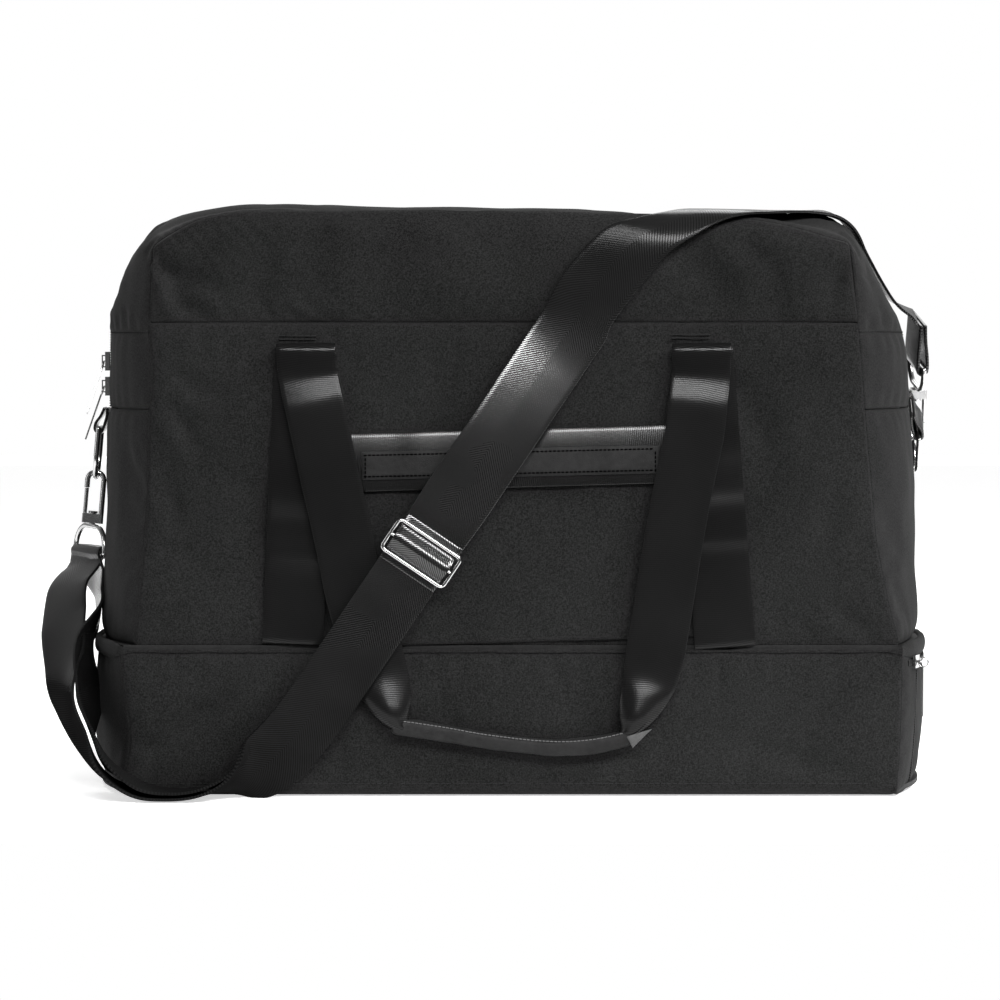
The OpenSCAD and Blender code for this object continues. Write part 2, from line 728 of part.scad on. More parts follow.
// On the right the tab and D-ring slant to the rear, and the hook stands up from the ring
right_ring_x = body_w / 2 + 6.2;
right_ring_a = 35;
right_tab_y = 5; // where the tab is sewn on
right_ring_y = right_tab_y + tab_rise * sin(right_ring_a);
right_ring_z = zip_start_z - tab_rise * cos(right_ring_a);
right_lean = 15; // the hook leans forwards
right_eye_turn = -8;
hold_l = ring_half - ring_wire_r - hook_wire_r - clear; // from the bow's centre to the hook's wire
right_hold_y = right_ring_y + ring_leg_l * sin(right_ring_a) + hold_l * cos(right_ring_a);
right_hold_z = right_ring_z - ring_leg_l * cos(right_ring_a) + hold_l * sin(right_ring_a);

module right_ring_place() {
    translate([right_ring_x, right_ring_y, right_ring_z]) rotate([right_ring_a, 0, 0]) children();
}

module right_chain() {
    translate([right_ring_x, right_hold_y, right_hold_z]) rotate([180 + right_lean, 0, 0])
        rotate([0, 0, 180]) translate([0, 0, -bow_z - hook_bow_r]) children();
}

module right_ring_tab() {
    color(webbing_colour) right_ring_place() mirror([1, 0, 0]) ring_tab_shape(6.2 - clear, tab_rise);
}

module right_d_ring() { color(metal) right_ring_place() d_ring_shape(); }
module right_hook() { color(metal) right_chain() hook_shape(); }
module right_hook_gate() { color(metal) right_chain() hook_gate_shape(); }
module right_swivel_eye() { color(metal) right_chain() swivel_eye_shape(right_eye_turn); }

// ---- Shoulder strap --------------------------------------------------------------------------

strap_a = 56; // slope of the strap on the front, from level
strap_dir = [cos(strap_a), 0, sin(strap_a)];
strap_across = [sin(strap_a), 0, -cos(strap_a)];
strap_slider_x = -55;
strap_slider_z = 152;

// A row on the strap's straight stretch, a distance up from the slider and off the front face
function on_front(up, off) = [strap_slider_x + up * strap_dir[0], front_y - off,
    strap_slider_z + up * strap_dir[2], strap_across[0], 0, strap_across[2]];

strap_off = 14.6; // middle of the running layer in front of the front panel, at the slider
slider_off = strap_off + 4.7; // middle of the slider's frame
fold_off = strap_off + 2.2; // ends of the fold over the bar
half_w = body_w / 2;
top_z = body_h;

right_bar_l = bow_z + hook_bow_r - eye_bar_z; // from the hook's bow to the eye's bar
right_bar_y = right_hold_y - right_bar_l * sin(right_lean);
right_bar_z = right_hold_z + right_bar_l * cos(right_lean);
end_tab_l = 28;
lay = 1.4; // middle of the webbing above what it lies on

corner_lay = teeth_h + clear + webbing_t / 2 + 1; // over the right corner it also clears the teeth

// A point of the strap over the right corner: angle round the corner, y, and the strap's slant
function on_corner(a, y, slant) = [half_w - corner_r + (corner_r + corner_lay) * cos(a), y,
    body_h - corner_r + (corner_r + corner_lay) * sin(a),
    sin(slant) * sin(a), -cos(slant), -sin(slant) * cos(a)];

main_rows = webbing_rows([
    [right_ring_x - 2, right_bar_y - (end_tab_l + 1) * sin(right_lean),
        right_bar_z + (end_tab_l + 1) * cos(right_lean), 0, -cos(right_lean), -sin(right_lean)],
    on_corner(17, 8.5, 13),
    on_corner(31, 4, 16),
    on_corner(52, -5, 23),
    on_corner(72, -19, 29),
    [half_w - 75, -34, top_z + lay + 0.6, 0.53, -0.85, 0],
    [half_w - 96, -49, top_z + lay, 0.56, -0.83, 0],
    [half_w - 115, -65, top_z + lay + 0.1, 0.63, -0.78, 0],
    [half_w - 130, -81, top_z + lay + 0.3, 0.67, -0.74, 0],
    [half_w - 141, -95, top_z + lay + 0.5, 0.69, -0.7, -0.06],
    [half_w - 150.5, -107.6, top_z + 0.5, 0.69, -0.55, -0.4],
    [half_w - 161, -114.8, top_z - 7.6, 0.66, -0.3, -0.68],
    [half_w - 175, front_y - lay, top_z - 18.5, 0.66, -0.05, -0.75],
    [half_w - 189, front_y - lay - 0.4, top_z - 33, 0.74, 0, -0.67],
    on_front(196, 2),
    on_front(172, 2.2),
    on_front(151, 2.6),
    on_front(113, 4.6),
    on_front(76, 7.6),
    on_front(38, 11.4),
    on_front(18, 13.9),
    on_front(0, strap_off)
]);

// Out of the slider, down to the ground, round the front left corner, up through the left eye
// and back again behind the running layer
left_x = -half_w;
corner_x = -base_face_w / 2;
eye_x = left_ring_x + eye_bar_z * sin(left_lean);
eye_z = ring_bar_z + eye_bar_z * cos(left_lean);
loop_rows = webbing_rows([
    on_front(0, strap_off),
    on_front(-51, strap_off + 0.9),
    on_front(-96, strap_off + 1.6),
    [-131, base_y - 13.6, 40, 0.8, 0.06, -0.59],
    [-151, base_y - 16.6, 21.5, 0.72, 0.25, -0.65],
    [-170, base_y - 20.2, 11, 0.36, 0.9, -0.2],
    [-190, base_y - 22, 4.4, 0.12, 0.99, -0.02],
    [corner_x + 30, base_y - 22, 2, -0.1, 0.99, 0],
    [corner_x + 4, base_y - 21.5, 4.6, -0.2, 0.98, 0],
    [corner_x - 19, base_y - 9, 17, -0.36, 0.92, 0.12],
    [corner_x - 32, -103, 34, -0.58, 0.79, 0.18],
    [corner_x - 40, -76, 56, -0.66, 0.73, 0.16],
    [corner_x - 44, -53, 81, -0.66, 0.75, 0.1],
    [corner_x - 44, -33, 105, -0.62, 0.78, 0.05],
    [corner_x - 39, -17, 125, -0.56, 0.83, 0],
    [eye_x - 3.5, -2.6, eye_z - 8, -0.5, 0.866, 0],
    [eye_x - 3.1, -1.8, eye_z, -0.5, 0.866, 0],
    [eye_x - 2.2, -1.3, eye_z + 2.6, -0.5, 0.866, 0],
    [eye_x, 0, eye_z + 3.7, -0.5, 0.866, 0],
    [eye_x + 2.2, 1.3, eye_z + 2.6, -0.5, 0.866, 0],
    [eye_x + 3.1, 1.8, eye_z, -0.5, 0.866, 0],
    [eye_x + 2.2, 0, eye_z - 10, -0.5, 0.866, 0],
    [left_x - 15, -12, 112, -0.5, 0.866, 0.04],
    [left_x - 19, -34, 87, -0.42, 0.9, 0.1],
    [left_x - 20, -59, 62, -0.42, 0.9, 0.14],
    [left_x - 16, -83, 39, -0.42, 0.89, 0.16],
    [left_x - 6, -111, 23, -0.38, 0.9, 0.16],
    [corner_x - 6, base_y - 19, 12, 0, 0.98, -0.1],
    [corner_x + 18, base_y - 21.6, 6, -0.1, 0.99, 0],
    [-208, base_y - 21.4, 5.4, 0, 1, -0.02],
    [-189, base_y - 20.4, 7.6, 0.14, 0.99, -0.04],
    [-168.5, base_y - 18, 14, 0.36, 0.9, -0.2],
    [-149.5, base_y - 14.2, 23.6, 0.72, 0.25, -0.65],
    [-130, base_y - 11.4, 41.5, 0.8, 0.06, -0.59],
    on_front(-96, strap_off - 0.6),
    on_front(-51, strap_off - 1.2),
    on_front(-14, strap_off - 2)
]);

module strap_main() { color(webbing_colour) ribbon(smooth_route(main_rows, 2)); }
module strap_loop() { color(webbing_colour) ribbon(smooth_route(loop_rows, 2)); }

// The sewn end: the webbing goes round the right eye's bar and is stitched to itself
module strap_end_tab() {
    outer_r = eye_wire_r + fit + webbing_t;
    color(webbing_colour) right_chain() rotate([0, 0, right_eye_turn]) translate([0, 0, eye_bar_z]) difference() {
        union() {
            rotate([90, 0, 0]) cylinder(h = webbing_w, r = outer_r, center = true);
            translate([outer_r - 2 * webbing_t, -webbing_w / 2, -end_tab_l])
                cube([2 * webbing_t, webbing_w, end_tab_l]);
        }
        rotate([90, 0, 0]) cylinder(h = webbing_w + 2, r = eye_wire_r + fit, center = true);
    }
}

// Local axes of the slider: X across the strap, Y outwards from the bag, Z up along the strap
module slider_place() {
    translate([strap_slider_x, front_y - slider_off, strap_slider_z]) rotate([0, 90 - strap_a, 0]) children();
}

slider_corner_r = 3;
slider_bar_r = 1;

module rod_frame(l, w, corner, r) {
    x = l / 2 - r;
    z = w / 2 - r;
    for (side = [-1, 1]) {
        wire_rod([-x + corner, 0, side * z], [x - corner, 0, side * z], r);
        wire_rod([side * x, 0, -z + corner], [side * x, 0, z - corner], r);
        for (end = [-1, 1]) translate([end * (x - corner), 0, side * (z - corner)]) rotate([90, 0, 0])
            rotate([0, 0, (side > 0 ? (end > 0 ? 0 : 90) : (end > 0 ? 270 : 180))])
            rotate_extrude(angle = 90, $fn = 48) translate([corner, 0]) circle(r, $fn = 32);
    }
}

module strap_slider() {
    color(metal) slider_place() union() {
        rod_frame(slider_frame_l, slider_frame_w, slider_corner_r, slider_wire_r);
        wire_rod([-slider_frame_l / 2 + slider_wire_r, 0, 0], [slider_frame_l / 2 - slider_wire_r, 0, 0], slider_bar_r);
    }
}

// The webbing's fold over the slider's bar: it dives under the frame's two long sides
module strap_bar_fold() {
    half = slider_frame_w / 2 - slider_wire_r;
    over = slider_off + slider_bar_r + fit + webbing_t / 2;
    rows = webbing_rows([on_front(half + 0.8, fold_off), on_front(half - 2.6, fold_off + 0.5),
        on_front(half / 2, (fold_off + over) / 2 + 1.2), on_front(1.4, over), on_front(-1.4, over),
        on_front(-half / 2, (fold_off + over) / 2 + 1.2), on_front(2.6 - half, fold_off + 0.5),
        on_front(-half - 0.8, fold_off)]);
    color(webbing_colour) ribbon(rows);
}

base_sole();
base_board();
base_front();
base_back();
base_left_end();
base_right_surround();
base_flap();
base_seam_band();
divider_board();
base_zip();
base_zip_slider();
base_zip_pull();
front_panel();
back_panel();
left_gusset();
right_gusset();
left_boxing();
right_boxing();
left_zip_end();
right_zip_end();
lining();
slip_pocket();
pocket_hem();
pocket_patch();
sewn_webbing_front();
sewn_webbing_rear();
front_yoke();
front_boxing();
front_zip_half();
rear_yoke();
rear_boxing();
rear_zip_half();
upper_zip_slider();
upper_zip_pull();
lower_zip_slider();
lower_zip_pull();
handle_front_webbing();
handle_front_grip();
handle_rear_webbing();
handle_rear_grip();
left_ring_tab();
left_d_ring();
left_hook();
left_hook_gate();
left_swivel_eye();
right_ring_tab();
right_d_ring();
right_hook();
right_hook_gate();
right_swivel_eye();
strap_slider();
strap_bar_fold();
strap_main();
strap_loop();
strap_end_tab();
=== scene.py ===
import bpy
import math
import numpy as np
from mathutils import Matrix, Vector, noise


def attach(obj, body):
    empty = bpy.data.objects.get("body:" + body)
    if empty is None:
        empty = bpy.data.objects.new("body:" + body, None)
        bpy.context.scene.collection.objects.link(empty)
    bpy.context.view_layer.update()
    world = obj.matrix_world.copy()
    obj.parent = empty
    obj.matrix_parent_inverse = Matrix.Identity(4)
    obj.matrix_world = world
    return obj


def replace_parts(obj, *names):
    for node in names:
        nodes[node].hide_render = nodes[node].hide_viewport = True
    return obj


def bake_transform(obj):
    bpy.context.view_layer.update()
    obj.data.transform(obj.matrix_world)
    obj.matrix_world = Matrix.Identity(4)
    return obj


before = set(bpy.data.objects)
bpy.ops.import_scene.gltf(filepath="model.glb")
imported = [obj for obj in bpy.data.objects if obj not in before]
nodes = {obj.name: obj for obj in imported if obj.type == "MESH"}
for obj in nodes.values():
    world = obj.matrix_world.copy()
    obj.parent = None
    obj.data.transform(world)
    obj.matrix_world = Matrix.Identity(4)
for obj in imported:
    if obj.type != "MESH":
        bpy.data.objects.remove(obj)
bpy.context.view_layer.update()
scene = bpy.context.scene
mm = 0.001

studio = {"distance": 3.35, "height": 0.180, "side": -0.0064, "elevation": 2.05, "lens": 188.1,
          "keyPower": 138, "fillPower": 96, "leftPower": 10, "backPower": 26, "floor": 0.95, "glow": 0.6,
          "front": 0.09, "behind": 0.4}

cameraData = bpy.data.cameras.new("studioCamera")
cameraData.lens = studio["lens"]
cameraData.clip_end = 60
camera = bpy.data.objects.new("studioCamera", cameraData)
scene.collection.objects.link(camera)
lift = math.radians(studio["elevation"])
camera.location = (studio["side"], -studio["distance"] * math.cos(lift),
                   studio["height"] + studio["distance"] * math.sin(lift))
camera.rotation_euler = (math.pi / 2 - lift, 0, 0)
scene.camera = camera
scene.view_settings.view_transform = "Standard"
scene.view_settings.look = "None"


def areaLight(name, place, target, size, power):
    data = bpy.data.lights.new(name, "AREA")
    data.shape = "RECTANGLE"
    data.size, data.size_y = size
    data.energy = power
    lamp = bpy.data.objects.new(name, data)
    scene.collection.objects.link(lamp)
    lamp.location = place
    lamp.rotation_euler = (Vector(target) - Vector(place)).to_track_quat("-Z", "Y").to_euler()


areaLight("keyLight", (0.7, -2.5, 1.65), (0, 0, 0.2), (2.6, 0.55), studio["keyPower"])
areaLight("fillLight", (2.1, -0.9, 1.9), (0, 0, 0.2), (0.7, 0.7), studio["fillPower"])
areaLight("leftLight", (-2.4, -0.9, 0.9), (0, 0, 0.2), (0.7, 1.4), studio["leftPower"])
areaLight("backLight", (0, 2.4, 1.8), (0, 0, 0.2), (2.4, 1.4), studio["backPower"])

world = bpy.data.worlds.new("paleStudio")
world.use_nodes = True
world.node_tree.nodes["Background"].inputs["Color"].default_value = (1, 1, 1, 1)
scene.world = world
print("camera and light ready")


class Shader:
    # a principled material with short helpers for its pattern nodes
    def __init__(self, name, **constants):
        self.material = bpy.data.materials.new(name)
        self.material.use_nodes = True
        self.tree = self.material.node_tree
        self.bsdf = self.tree.nodes["Principled BSDF"]
        for socket, value in constants.items():
            self.bsdf.inputs[socket.replace("_", " ")].default_value = value

    def node(self, kind, sources=(), **settings):
        made = self.tree.nodes.new(kind)
        for key, value in settings.items():
            setattr(made, key, value)
        for index, source in enumerate(sources):
            self.feed(made.inputs[index], source)
        return made

    def feed(self, socket, source):
        if isinstance(source, (int, float, tuple)):
            socket.default_value = source
        elif source is not None:
            self.tree.links.new(source, socket)

    def math(self, operation, a, b=0.0):
        return self.node("ShaderNodeMath", (a, b), operation=operation).outputs[0]

    def coords(self, kind):
        return self.node("ShaderNodeTexCoord").outputs[kind]

    def noise(self, vector, scale, detail=2.0, rough=0.5, stretch=None):
        if stretch:
            vector = self.node("ShaderNodeMapping", (vector, (0, 0, 0), (0, 0, 0), stretch)).outputs[0]
        made = self.node("ShaderNodeTexNoise")
        self.feed(made.inputs["Vector"], vector)
        made.inputs["Scale"].default_value = scale
        made.inputs["Detail"].default_value = detail
        made.inputs["Roughness"].default_value = rough
        return made.outputs[0]

    def ramp(self, source, stops):
        made = self.node("ShaderNodeValToRGB", (source,))
        while len(made.color_ramp.elements) < len(stops):
            made.color_ramp.elements.new(0.5)
        for element, (place, shade) in zip(made.color_ramp.elements, stops):
            element.position = place
            element.color = (shade, shade, shade, 1)
        return made.outputs[0]

    def mix(self, factor, a, b, blend="MIX"):
        made = self.node("ShaderNodeMix", data_type="RGBA", blend_type=blend)
        self.feed(made.inputs["Factor"], factor)
        self.feed(made.inputs["A"], a)
        self.feed(made.inputs["B"], b)
        return made.outputs["Result"]

    def bump(self, *heights):
        # heights are (source, strength, distance in metres), laid over each other
        previous = None
        for source, strength, distance in heights:
            made = self.node("ShaderNodeBump")
            made.inputs["Strength"].default_value = strength
            made.inputs["Distance"].default_value = distance
            self.feed(made.inputs["Height"], source)
            self.feed(made.inputs["Normal"], previous)
            previous = made.outputs[0]
        self.feed(self.bsdf.inputs["Normal"], previous)

    def colour(self, source):
        self.feed(self.bsdf.inputs["Base Color"], source)


def heatherCanvas(name, dark, light):
    # black canvas of dark and grey yarns: long thin flecks both ways, and a slow drift in shade
    cloth = Shader(name, Roughness=0.9, Sheen_Weight=0.02, Sheen_Roughness=0.5, Specular_IOR_Level=0.05)
    place = cloth.coords("Object")
    warp = cloth.noise(place, 1500, 2.0, 0.6, (1.0, 1.0, 0.5))
    weft = cloth.noise(place, 1500, 2.0, 0.6, (0.5, 0.5, 1.0))
    fibre = cloth.noise(place, 3200, 3.0, 0.7)
    drift = cloth.noise(place, 9, 2.0)
    yarns = cloth.math("ADD", cloth.math("MULTIPLY", warp, 0.5), cloth.math("MULTIPLY", weft, 0.5))
    flecks = cloth.math("ADD", cloth.math("MULTIPLY", yarns, 0.75), cloth.math("MULTIPLY", fibre, 0.25))
    shade = cloth.ramp(flecks, [(0.42, dark), (0.5, (dark + light) / 2), (0.58, light)])
    cloth.colour(cloth.mix(0.25, shade, cloth.ramp(drift, [(0.3, dark * 1.3), (0.7, light * 0.8)])))
    cloth.bump((yarns, 0.35, 0.0002), (fibre, 0.25, 0.0001))
    return cloth.material


def twillWebbing(name, tones, shine, rough, pitch, slope, fold, paintedShadeByHeight=None):
    # u runs along the webbing and v across it, both in metres; the ribs lean both ways from the middle
    cloth = Shader(name, Roughness=rough)
    split = cloth.node("ShaderNodeSeparateXYZ", (cloth.coords("UV"),))
    turned = cloth.math("PINGPONG", split.outputs[1], fold)
    rib = cloth.math("SINE", cloth.math("MULTIPLY", cloth.math("ADD", split.outputs[0],
                     cloth.math("MULTIPLY", turned, slope)), 2 * math.pi / pitch))
    weave = cloth.math("ADD", cloth.math("MULTIPLY", rib, 0.5), 0.5)
    fuzz = cloth.noise(cloth.coords("Object"), 900, 3.0, 0.65)
    drift = cloth.noise(cloth.coords("Object"), 22, 2.0)
    tone = cloth.math("ADD", cloth.math("MULTIPLY", weave, 0.7), cloth.math("MULTIPLY", fuzz, 0.3))
    shade = cloth.ramp(tone, [(0.2, tones[0]), (0.85, tones[1])])
    cloth.colour(cloth.mix(0.3, shade, cloth.ramp(drift, [(0.3, tones[0]), (0.7, tones[1])])))
    gleam = cloth.ramp(tone, [(0.2, shine[0]), (0.85, shine[1])])
    # painted shade: the shine is cut by height, which darkens the strap near the floor and where it runs over
    # the top of the bag
    if paintedShadeByHeight:  # heights in metres, and the share of the shine left at each
        height = cloth.node("ShaderNodeSeparateXYZ", (cloth.coords("Object"),)).outputs[2]
        gleam = cloth.mix(1.0, gleam, cloth.ramp(height, paintedShadeByHeight), "MULTIPLY")
    cloth.feed(cloth.bsdf.inputs["Specular IOR Level"], gleam)
    cloth.bump((weave, 0.12, 0.0002), (fuzz, 0.2, 0.0001))
    return cloth.material


def grainedPu(name, dark, light, rough):
    skin = Shader(name, Roughness=rough, Specular_IOR_Level=0.07)
    place = skin.coords("Object")
    cells = skin.node("ShaderNodeTexVoronoi", feature="DISTANCE_TO_EDGE")
    skin.feed(cells.inputs["Vector"], place)
    cells.inputs["Scale"].default_value = 900
    fine = skin.noise(place, 260, 4.0, 0.6)
    wear = skin.noise(place, 45, 3.0, 0.6)
    mottle = skin.math("ADD", skin.math("MULTIPLY", fine, 0.5), skin.math("MULTIPLY", wear, 0.5))
    skin.colour(skin.ramp(mottle, [(0.35, dark), (0.68, light)]))
    skin.bump((cells.outputs[0], 0.35, 0.0004), (fine, 0.3, 0.0003))
    return skin.material


def polishedMetal(name, shade, rough):
    metal = Shader(name, Metallic=1.0, Roughness=rough, Specular_IOR_Level=0.5)
    place = metal.coords("Object")
    smear = metal.noise(place, 120, 4.0, 0.6)
    metal.colour(metal.ramp(smear, [(0.3, shade * 0.86), (0.7, shade)]))
    metal.bump((metal.noise(place, 420, 2.0), 0.04, 0.0002))
    return metal.material


def plainCloth(name, dark, light, scale, rough, shine=0.15):
    cloth = Shader(name, Roughness=rough, Specular_IOR_Level=shine)
    place = cloth.coords("Object")
    grain = cloth.noise(place, scale, 3.0, 0.6)
    cloth.colour(cloth.ramp(grain, [(0.3, dark), (0.7, light)]))
    cloth.bump((grain, 0.3, 0.0003))
    return cloth.material


canvasBlack = heatherCanvas("heatherCanvas", 0.0028, 0.0175)
# the last ramp paints shade on the strap: its shine is cut near the floor and over the top of the bag
webbingBlack = twillWebbing("strapTwill", (0.002, 0.0125), (0.16, 1.0), 0.2, 0.0019, 1.0, 0.020,
                            ((0.066, 0.0), (0.1, 0.5), (0.14, 1.0), (0.285, 1.0), (0.305, 0.16)))
webbingSatin = twillWebbing("handleSatinWebbing", (0.003, 0.0075), (0.08, 0.2), 0.23, 0.0013, 0.12, 0.019)
hemSatin = twillWebbing("hemSatin", (0.003, 0.008), (0.15, 0.48), 0.22, 0.0013, 0.12, 0.019)
puGloss = grainedPu("glossedPuEdge", 0.05, 0.09, 0.35)
puBlack = grainedPu("grainedPu", 0.009, 0.017, 0.5)
nickel = polishedMetal("polishedNickel", 0.5, 0.2)
liningGrey = plainCloth("liningPolyester", 0.05, 0.085, 700, 0.6)
tapeBlack = plainCloth("zipTape", 0.003, 0.009, 1400, 0.7)
coilBlack = plainCloth("coilNylon", 0.003, 0.008, 600, 0.4)
threadPale = plainCloth("gripThread", 0.06, 0.1, 3000, 0.5)
threadBlack = plainCloth("darkThread", 0.0005, 0.0012, 3000, 1.0, 0.0)
seamBlack = plainCloth("panelThread", 0.006, 0.012, 3000, 0.6)
boardBlack = plainCloth("stiffBoard", 0.008, 0.014, 500, 0.65)
print("materials ready")


def floorMaterial():
    pale = Shader("paleFloor", Roughness=0.7, Specular_IOR_Level=0.1)
    grain = pale.noise(pale.coords("Object"), 3, 2.0)
    pale.colour(pale.ramp(grain, [(0.0, studio["floor"] * 0.99), (1.0, studio["floor"])]))
    pale.bsdf.inputs["Emission Color"].default_value = (1, 1, 1, 1)
    pale.bsdf.inputs["Emission Strength"].default_value = studio["glow"]
    return pale.material


def tentMaterial():
    # what the satin and the metal reflect: dark towards the front, pale behind
    tent = Shader("studioTent", Roughness=1.0, Specular_IOR_Level=0.0, Base_Color=(0, 0, 0, 1),
                  Emission_Strength=1.0)
    depth = tent.node("ShaderNodeSeparateXYZ", (tent.coords("Object"),)).outputs[1]
    glow = tent.ramp(tent.math("MULTIPLY", depth, 0.5), [(0.0, studio["front"]), (1.0, studio["behind"])])
    tent.feed(tent.bsdf.inputs["Emission Color"], glow)
    tent.material.cycles.emission_sampling = "NONE"
    return tent.material


bpy.ops.object.select_all(action="DESELECT")
bpy.ops.mesh.primitive_plane_add(size=8, location=(0, 3.6, 0))
floor = bpy.context.object
floor.name = "studioFloor"
floor.data.materials.append(floorMaterial())
bpy.ops.object.select_all(action="DESELECT")
bpy.ops.mesh.primitive_uv_sphere_add(segments=48, ring_count=24, radius=7)
tent = bpy.context.object
tent.name = "studioTent"
tent.visible_camera = False  # the camera sees the white world through it
tent.data.materials.append(tentMaterial())


def spline(points, steps):
    # a smooth curve through rows of numbers
    rows = np.array(points, float)
    padded = np.vstack([2 * rows[0] - rows[1], rows, 2 * rows[-1] - rows[-2]])
    t = np.linspace(0, 1, steps, endpoint=False)[:, None]
    out = []
    for a, b, c, d in zip(padded, padded[1:], padded[2:], padded[3:]):
        squared, cubed = 2 * a - 5 * b + 4 * c - d, 3 * b - a - 3 * c + d
        out.append(0.5 * (2 * b + (c - a) * t + squared * t ** 2 + cubed * t ** 3))
    return np.vstack(out + [rows[-1:]])


def evenly(rows, step):
    # the same curve, with its points a step apart along its first three columns
    gaps = np.linalg.norm(np.diff(rows[:, :3], axis=0), axis=1)
    run = np.concatenate([[0], np.cumsum(gaps)])
    count = max(int(round(run[-1] / step)), 2)
    at = np.linspace(0, run[-1], count + 1)
    return np.stack([np.interp(at, run, rows[:, k]) for k in range(rows.shape[1])], axis=1), run[-1]


def pick(piece):
    bpy.ops.object.select_all(action="DESELECT")
    bpy.context.view_layer.objects.active = piece
    piece.select_set(True)


def editMesh(*steps):
    # runs each step on the active piece in edit mode, with all of it selected first
    bpy.ops.object.mode_set(mode="EDIT")
    bpy.ops.mesh.select_all(action="SELECT")
    for step in steps:
        step()
    bpy.ops.object.mode_set(mode="OBJECT")


def gridSheet(name, shape, across, along, lengths, outward):
    # a grid primitive whose points are laid on a surface; u and v go from 0 to 1
    bpy.ops.object.select_all(action="DESELECT")
    bpy.ops.mesh.primitive_grid_add(x_subdivisions=across, y_subdivisions=along, size=1)
    sheet = bpy.context.object
    sheet.name = name
    mesh = sheet.data
    flat = np.empty(len(mesh.vertices) * 3)
    mesh.vertices.foreach_get("co", flat)
    flat = flat.reshape(-1, 3) + 0.5
    u, v = np.clip(flat[:, 0], 0, 1), np.clip(flat[:, 1], 0, 1)
    mesh.vertices.foreach_set("co", np.asarray(shape(u, v), float).ravel())
    loops = np.empty(len(mesh.loops), int)
    mesh.loops.foreach_get("vertex_index", loops)
    metres = np.stack([u[loops] * lengths[0], v[loops] * lengths[1]], axis=1)
    mesh.uv_layers[0].data.foreach_set("uv", metres.ravel())
    mesh.update()
    facing = sum((p.normal.dot(outward(p.center)) * p.area for p in mesh.polygons), 0.0)
    if facing < 0:
        editMesh(bpy.ops.mesh.flip_normals)
    bpy.ops.object.shade_smooth()
    return sheet, u, v


def faceOut():
    bpy.ops.mesh.normals_make_consistent(inside=False)


def readPoints(sheet, field="co"):
    flat = np.empty(len(sheet.data.vertices) * 3)
    sheet.data.vertices.foreach_get(field, flat)
    return flat.reshape(-1, 3)


def writePoints(sheet, points):
    sheet.data.vertices.foreach_set("co", points.ravel())
    sheet.data.update()


def addModifier(piece, kind, **settings):
    pick(piece)
    made = piece.modifiers.new(kind.lower(), kind)
    for key, value in settings.items():
        setattr(made, key, value)
    bpy.ops.object.modifier_apply(modifier=made.name)


def fromPoints(name, points, faces, material):
    mesh = bpy.data.meshes.new(name)
    mesh.from_pydata(np.vstack(points).tolist(), [], faces)
    piece = bpy.data.objects.new(name, mesh)
    scene.collection.objects.link(piece)
    piece.data.materials.append(material)
    return piece


def hold(piece, body, blendTo=None):
    # blendTo names a second body and a line, which are not used: when it is given, the piece is only baked in
    # place and held by no body
    if blendTo:
        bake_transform(piece)
    else:
        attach(piece, body)


def slowNoise(points, size, seed):
    shift = Vector((seed * 3.1, seed * 1.7, seed * 0.9))
    return np.array([noise.noise(Vector(p) / size + shift) for p in points])


def fromCentre(point):
    return Vector((point.x, point.y, point.z - 0.18))


canvasLook = {"step": 0.0042, "wall": 0.0026, "puff": 0.0024, "seamWidth": 0.007, "slack": 0.0014,
              "slackSize": 0.06, "pucker": 0.00035, "puckerGap": 0.017, "puckerReach": 0.014,
              "faceY": 0.1132, "clothFrames": 14, "clothSpare": 0.012, "clothCap": 0.003,
              "clothRise": 0.0002}
seamLines = {"panelFoot": 0.0914, "panelTop": 0.2938, "yokeFoot": 0.2941, "gussetFoot": 0.0945,
             "gussetTop": 0.2398, "boxingFoot": 0.2402, "boxingTop": 0.288, "tapeEdge": 0.0158,
             "boxingEdge": 0.1072}
flatSizes = {"panel": (0.455, 0.202), "yoke": (0.44, 0.07), "boxing": (0.66, 0.1), "gusset": (0.234, 0.146),
             "endBoxing": (0.1, 0.048), "baseWall": (0.484, 0.088), "baseEnd": (0.238, 0.088),
             "baseCorner": (0.037, 0.088), "flap": (0.153, 0.076), "sole": (0.507, 0.224)}
baseLook = {"wallY": 0.1165, "foot": 0.0012, "wallTall": 0.089, "endTop": 0.0877, "doorEdge": 0.0808,
            "flapHalf": 0.0757, "flapFoot": 0.0036, "flapTop": 0.0795, "soleLong": 0.2535, "soleDeep": 0.1118,
            "soleZ": 0.0026, "ground": 0.0003}

# outline of the body at mid depth, and of the front face, from the left end over the top to the right
midLine = [(-254.5, 288), (-253, 300), (-248.5, 310), (-244, 323), (-238, 335), (-230.5, 344),
           (-223.5, 352.5), (-217, 356), (-208, 360), (-197, 362.5), (-183, 364.5), (-160, 366), (-120, 366),
           (-60, 364), (0, 363), (60, 362), (120, 360.5), (160, 360.7), (180, 361), (194, 360.6),
           (202.5, 358.3), (208.5, 354.3), (213, 351.5), (217.8, 343.5), (224.2, 333), (231.2, 321),
           (238, 310), (244.5, 299), (250, 288)]
faceLine = [(-223.5, 288), (-222.8, 300), (-222.3, 310), (-222, 320), (-222, 332), (-221, 340),
            (-216.5, 344.5), (-209.5, 349), (-201.5, 353.5), (-191.5, 358), (-178, 361), (-160, 363.2),
            (-120, 363.5), (-60, 363.2), (0, 362.8), (60, 361.8), (120, 360.4), (150, 357.6), (168, 354.6),
            (180, 351.6), (189, 349), (197, 346.6), (204, 344.8), (209.5, 342.4), (212, 336), (213.2, 326),
            (214, 314), (214.7, 301), (215.5, 288)]
